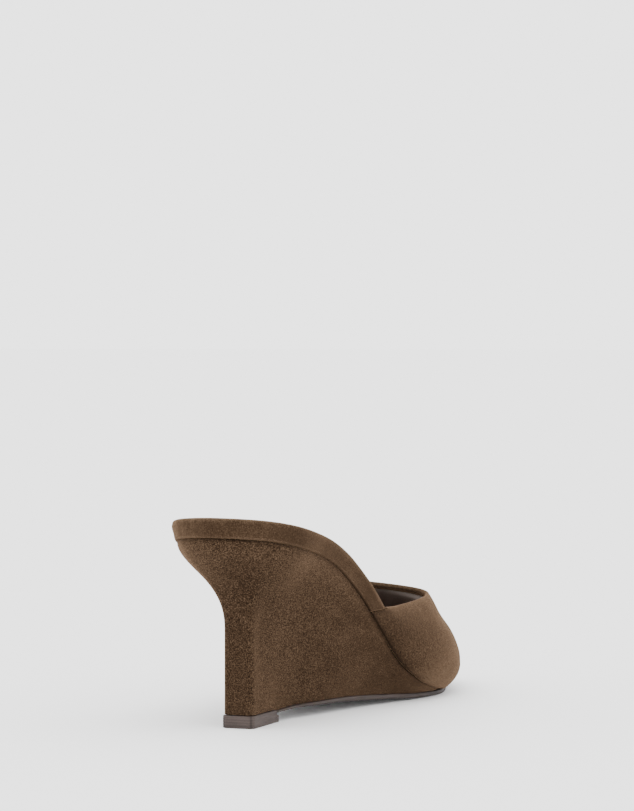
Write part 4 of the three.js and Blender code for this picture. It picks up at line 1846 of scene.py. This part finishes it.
CREASES = (
    Crease(turn=0.48, turn_width=0.16, level=0.8, level_width=0.12, depth=0.95, inner_side=0.6),
    Crease(turn=0.58, turn_width=0.14, level=0.05, level_width=0.14, depth=0.6, inner_side=0.6),
    Crease(turn=0.33, turn_width=0.08, level=0.34, level_width=0.05, depth=0.22, slant=0.9),
    Crease(turn=0.52, turn_width=0.1, level=0.3, level_width=0.05, depth=0.18, slant=-0.6),
    Crease(turn=0.62, turn_width=0.06, level=0.12, level_width=0.06, depth=0.2, slant=0.4),
    Crease(turn=0.86, turn_width=0.07, level=0.16, level_width=0.06, depth=0.12, inner_side=0.5),
)


@dataclass(frozen=True)
class Upper:
    """Suede vamp with a folded topline and a dark leather lining."""

    last: Last
    footbed: Footbed
    wall: float = 1.8
    lining_sink: float = 0.25
    fold_width: float = 1.7
    throat_station: float = 164.5
    throat_height: float = 46.4
    fold_limit: float = 0.3
    fold_edge: Ease = Ease(0.85, 1.1)
    fold_flatness: float = 0.8
    seam_gap: float = 0.4
    seam_round: float = 0.55
    seam_blend: float = 0.12
    seam_turns: tuple[float, ...] = (0.0, 0.0006, 0.0014, 0.0024, 0.0037, 0.006)
    seam_length: float = 150.0
    first_turn: float = 0.01
    corner: float = 1.14
    climb: float = 1.35
    level_foot: float = 0.15
    foot_drop: float = 0.2
    foot_tuck: Fade = Fade(0.1, 6.0)
    foot_tuck_ease: Ease = Ease(0.0, 0.15)
    flank_ease: Ease = Ease(0.1, 0.26)
    toe_ease: Ease = Ease(0.34, 0.5)
    edge_shade: Fade = Fade(1.2, 0.025)
    foot_shade: Fade = Fade(0.7, 0.14)
    middle_shade: Peak = Peak(0.62, 0.25, 0.2)
    toe_shade: Fade = Fade(0.4, 0.1)
    lining_shade: float = 0.8
    topline_highlight: float = 0.9
    topline_power: int = 14
    flank_light: Fade = Fade(1.3, 0.35)
    # Painted highlight on the lining, by depth below the fold and by place along the upper.
    shine: Peak = Peak(2.4, 2.2, 0.66)
    shine_turn: Peak = Peak(0.72, 0.2)
    columns: int = 190
    outer_rows: int = 84
    rim_rows: int = 10
    fold_rows: int = 12
    inner_rows: int = 56
    nap: Nap = Nap(0.94, 0.9)

    @property
    def start(self) -> float:
        """Turn of the upper's rear edge at the feather line."""
        return float(self.last.turn_at(self.footbed.seam_station + self.seam_gap))

    def topline(self, place: FloatArray, side: float) -> FloatArray:
        """Topline from the side seam, 0, to the middle of the throat, 1.

        One cubic curve in plan, straight along the side and round the throat's corner, with
        the height rising as a power of the place.

        Args:
            place: Places on the topline.
            side: Sign of the side.

        Returns:
            Points of the topline.
        """
        bed, throat = self.footbed, self.throat_station
        seam = self.last.turn_at(bed.seam_station + bed.seam_lean + self.seam_gap)
        start = self.last.on_seat(self.last.plan(seam, side, bed.band_outset), bed.band_thickness)
        middle = float(self.last.drift(self.last.turn_at(throat)))
        across = (start[0], start[0], start[0] * self.corner, middle)
        marks = np.column_stack([across, (start[1], throat, throat, throat)])
        plan = cubic(*marks, place[..., None])
        height = start[2] + (self.throat_height - start[2]) * place**self.climb
        return np.concatenate([plan, height[..., None]], -1)

    def feather(self, turn: FloatArray) -> FloatArray:
        """Turn on the feather line, counted from the heel, at places from the seam."""
        return self.start + (1.0 - self.start) * turn

    def normal(self, turn: FloatArray, side: float) -> FloatArray:
        """Level direction outwards from the feather line.

        Args:
            turn: Places from the seam to the toe.
            side: Sign of the side.

        Returns:
            Unit directions, without a Z part.
        """
        feather = self.feather(turn)
        level = self.last.plan(feather, side, 1.0) - self.last.plan(feather, side)
        return np.concatenate([level, np.zeros_like(level[..., :1])], -1)

    def frame_of(self, turn: FloatArray, side: float) -> tuple[FloatArray, ...]:
        """The four marks of each section's cubic curve.

        Args:
            turn: Places from the seam to the toe.
            side: Sign of the side.

        Returns:
            Foot, low bend, high bend and top of each section.
        """
        foot = self.last.on_seat(self.last.plan(self.feather(turn), side), -self.foot_drop)
        top = self.topline(UPPER_SECTIONS.curve("topline")(turn), side)
        out = self.normal(turn, side)

        def bend(share: float, outwards: str, upwards: str) -> FloatArray:
            """Mark beside the chord.

            Args:
                share: Share of the way along the chord.
                outwards: Column that says how far it stands out.
                upwards: Column that says how far it stands up.

            Returns:
                The mark of each section.
            """
            along = UPPER_SECTIONS.curve(outwards)(turn)[..., None]
            lift = UPPER_SECTIONS.curve(upwards)(turn)[..., None]
            return foot + (top - foot) * share + self.last.half_ball * (out * along + UP * lift)

        low = bend(1 / 3, "low_out", "low_up")
        return foot, low, bend(2 / 3, "high_out", "high_up"), top

    def skin(self, turn: FloatArray, side: float, level: FloatArray) -> FloatArray:
        """Outer face without creases: a cubic curve from the feather line to the topline."""
        return cubic(*self.frame_of(turn, side), level[..., None])

    def outward(self, turn: FloatArray, side: float, level: FloatArray) -> FloatArray:
        """Outward direction of the skin, level at the feather line and plain at the seam.

        Args:
            turn: Places from the seam to the toe.
            side: Sign of the side.
            level: Share of the way up.

        Returns:
            Unit directions, rows by columns.
        """
        step = 0.002
        toe = (turn >= 1.0 - step)[:, None]
        ahead = self.skin(np.minimum(turn + step, 1.0), side, level)
        along = ahead - self.skin(np.maximum(turn - step, 0.0), side, level)
        along = np.where(toe, np.array([-side, 0.0, 0.0]), along)
        higher = self.skin(turn, side, np.minimum(level + step, 1.0))
        upward = higher - self.skin(turn, side, np.maximum(level - step, 0.0))
        normal = side * np.cross(along, upward)
        normal[..., 2] *= np.minimum(level / self.level_foot, 1.0)
        plain = self.normal(turn, side)
        share = smoothstep(turn, 0.0, self.seam_blend)[:, None]
        return unit(plain + (unit(normal) - plain) * share)

    def half(self, turn: FloatArray, side: float) -> FloatArray:
        """One side of the upper: up the suede, over the folded edge and down the lining.

        Args:
            turn: Places from the seam to the toe.
            side: Sign of the side.

        Returns:
            Points, rows by columns.
        """
        _, _, high, top = self.frame_of(turn, side)
        speed = 3.0 * np.linalg.norm(top - high, axis=-1)
        rise = np.linspace(0.0, 1.0, self.outer_rows)[:, None] + 0.0 * turn
        outer = self.skin(turn, side, rise)
        out = self.outward(turn, side, rise)
        dent = sum((crease.depth_at(turn, rise, side) for crease in CREASES), np.zeros_like(rise))
        dent = dent + self.foot_tuck.at(rise * speed) * self.foot_tuck_ease.at(turn)
        dent = dent + round_in(self.seam_round, turn * self.seam_length)
        outer = outer - out * dent[..., None]
        # The lining goes down from the fold, whose width is the same all round.
        fold = np.minimum(self.fold_width / speed, self.fold_limit)
        near = np.linspace(0.0, 1.0, self.fold_rows)[:, None] * fold
        share = np.linspace(0.0, 1.0, self.inner_rows - self.fold_rows + 1)[1:, None]
        down = np.concatenate([near, fold + (1.0 - fold) * share])
        sink = self.lining_sink * self.fold_edge.at(down * speed / self.fold_width)
        inset = self.outward(turn, side, 1.0 - down) * (self.wall - sink)[..., None]
        inner = self.skin(turn, side, 1.0 - down) - inset
        angle = np.linspace(0.0, np.pi, self.rim_rows + 2)[1:-1, None, None]
        edge, lined = outer[-1], inner[0]
        middle, arm = (edge + lined) / 2, (edge - lined) / 2
        tall = unit(outer[-1] - outer[-2])
        share = smoothstep(turn, 0.0, self.seam_blend)[:, None]
        lift = unit(UP + (tall - UP) * share) * self.wall / 2
        rim = middle + arm * np.cos(angle) + lift * np.sin(angle) * self.fold_flatness
        return np.concatenate([outer, rim, inner])

    def build(self) -> Body:
        """Sections from one side seam round the toe to the other, each a closed loop.

        Returns:
            The closed body, with the two seam faces.
        """
        evenly = np.linspace(self.first_turn, 1.0, self.columns)
        turn = np.concatenate([np.array(self.seam_turns), evenly])
        outer = self.half(turn, Side.OUTER.value)
        inner = self.half(turn[:-1], Side.INNER.value)
        rows = np.concatenate([outer, inner[:, ::-1]], axis=1)
        lining = self.outer_rows + self.rim_rows + self.fold_rows
        finish = np.full(len(rows), UpperFace.SUEDE.value)
        finish[lining:-1] = UpperFace.LEATHER.value
        place = np.concatenate([turn, turn[-2::-1]])
        ahead, at_toe = self.flank_ease.at(place), self.toe_ease.at(place)
        rise = np.linspace(0.0, 1.0, self.outer_rows)[:, None]
        painted_light, seam = np.zeros(rows.shape[:2]), np.zeros(rows.shape[:2])
        # Painted shade along the foot, beside the wedge, across the middle and under the toe,
        # and painted light from the floor on the flank between.
        shade = self.edge_shade.at(rise) + self.foot_shade.at(rise) * (1.0 - ahead)
        shade = shade + self.middle_shade.at(rise) + self.toe_shade.at(rise) * at_toe
        seam[: self.outer_rows] = shade
        flank = self.flank_light.at(rise) * ahead * (1.0 - at_toe)
        # Painted highlight along the top of the suede and over the folded rim.
        painted_light[: self.outer_rows] = rise**self.topline_power * self.topline_highlight + flank
        painted_light[self.outer_rows : lining] = self.topline_highlight
        # Painted shade in a dark line where the lining starts, and a painted highlight in a
        # strip of the lining below it.
        seam[lining - 2 : lining + 1] = self.lining_shade
        drop = np.linalg.norm(rows[lining:] - rows[lining], axis=-1)
        painted_light[lining:] = self.shine.at(drop) * self.shine_turn.at(place)
        return Body(
            rows,
            closed_across=False,
            closed_along=True,
            finish=finish[:, None],
            marks={"painted_light": painted_light, "seam": seam, "nap": self.nap.at(rows)},
            extra_faces=self.seam_faces(rows.shape[1]),
        )

    def seam_faces(self, columns: int) -> IntArray:
        """Faces of the two side seams, between outer and inner rows at the same height.

        Args:
            columns: Number of sections.

        Returns:
            Point numbers of the faces.
        """
        count = self.outer_rows + self.rim_rows + self.inner_rows
        # Walk the loop from both ends of the foot at once.
        steps = count // 2
        low = np.arange(steps - 1)
        high = count - 1 - low
        first = np.stack([low, low + 1, high - 1, high], -1) * columns
        return np.concatenate([first, first[:, ::-1] + columns - 1])

    def dress(self, finishes: Finishes) -> bpy.types.Object:
        """Makes the piece and ties it to the frame.

        Args:
            finishes: The shoe's materials.

        Returns:
            The piece.
        """
        materials = [finishes.suede, finishes.lining]
        piece = make_object("upper_vamp", self.build(), self.last, materials)
        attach(piece, "root")
        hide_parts("upper")
        return piece


# Studio


@dataclass(frozen=True)
class Studio:
    """Pale floor, even sky light, one soft key light and the photo's camera."""

    eye: Vector = (0.4802, -1.1124, 0.1517)
    gaze: Vector = (-0.376406, 0.926183, -0.022453)
    lens: float = 138.35
    sensor: float = 36.0
    far: float = 200.0
    floor_size: float = 60.0
    horizon: float = 3.0
    zenith: float = 2.0
    horizon_top: float = 0.15
    zenith_start: float = 0.8
    key_strength: float = 2.2
    key_spread: float = 90.0
    key_from: Vector = (-0.1, 0.2, 1.0)

    def floor(self) -> bpy.types.Object:
        """Lays the floor.

        Returns:
            The floor, which isn't part of the shoe.
        """
        half = self.floor_size / 2
        corners = [(-half, -half, 0.0), (half, -half, 0.0), (half, half, 0.0), (-half, half, 0.0)]
        mesh = bpy.data.meshes.new("floor")
        mesh.from_pydata(corners, [], [(0, 1, 2, 3)])
        mesh.materials.append(Backdrop().material())
        plane = bpy.data.objects.new("floor", mesh)
        bpy.context.scene.collection.objects.link(plane)
        return plane

    def sky(self) -> None:
        """Lights the scene from all round, more from the horizon than from above."""
        world = bpy.data.worlds.new("sky")
        g = Graph(world)
        direction = g.node("ShaderNodeTexCoord", {}, {}, "Generated")
        share = g.parts(direction)[2].ease(self.horizon_top, self.zenith_start)
        strength = self.horizon + (self.zenith - self.horizon) * share
        inputs = {"Color": (1.0, 1.0, 1.0, 1.0), "Strength": strength}
        background = g.node("ShaderNodeBackground", {}, inputs)
        g.node("ShaderNodeOutputWorld", {}, {"Surface": background})
        bpy.context.scene.world = world

    def key(self) -> bpy.types.Object:
        """Adds the key light, so wide that its shadows are soft.

        Returns:
            The light.
        """
        light = bpy.data.lights.new("key", "SUN")
        light.energy = self.key_strength
        light.angle = np.radians(self.key_spread)
        lamp = bpy.data.objects.new("key", light)
        x, y, z = self.key_from
        lamp.rotation_euler = (0.0, float(np.arctan2(np.hypot(x, y), z)), float(np.arctan2(y, x)))
        bpy.context.scene.collection.objects.link(lamp)
        return lamp

    def camera(self) -> bpy.types.Object:
        """Places the camera at the photo's view.

        Returns:
            The camera.
        """
        data = bpy.data.cameras.new("camera")
        data.lens = self.lens
        data.sensor_width = self.sensor
        data.clip_end = self.far
        camera = bpy.data.objects.new("camera", data)
        x, y, z = self.gaze
        camera.location = self.eye
        tilt = float(np.arccos(-z / np.sqrt(x * x + y * y + z * z)))
        camera.rotation_euler = (tilt, 0.0, float(np.arctan2(-x, y)))
        bpy.context.scene.collection.objects.link(camera)
        bpy.context.scene.camera = camera
        return camera


def main() -> None:
    """Builds the studio and the shoe's pieces."""
    logging.basicConfig(level=logging.INFO, format="%(name)s: %(message)s")
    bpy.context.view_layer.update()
    studio = Studio()
    studio.camera()
    studio.floor()
    studio.sky()
    studio.key()
    finishes = Finishes(
        suede=Suede().material(),
        lining=LiningLeather().material(),
        sock=SOCK_LEATHER.material(),
        rubber=SoleRubber().material(),
    )
    last = Last()
    footbed = Footbed(last)
    tip = HeelTip(last)
    outsole = Outsole(last, tip)
    pieces = (
        Upper(last, footbed),
        footbed,
        Insole(last, footbed),
        Wedge(last, tip, outsole),
        outsole,
        tip,
    )
    for piece in pieces:
        report(piece.dress(finishes))


if __name__ == "__main__":
    main()
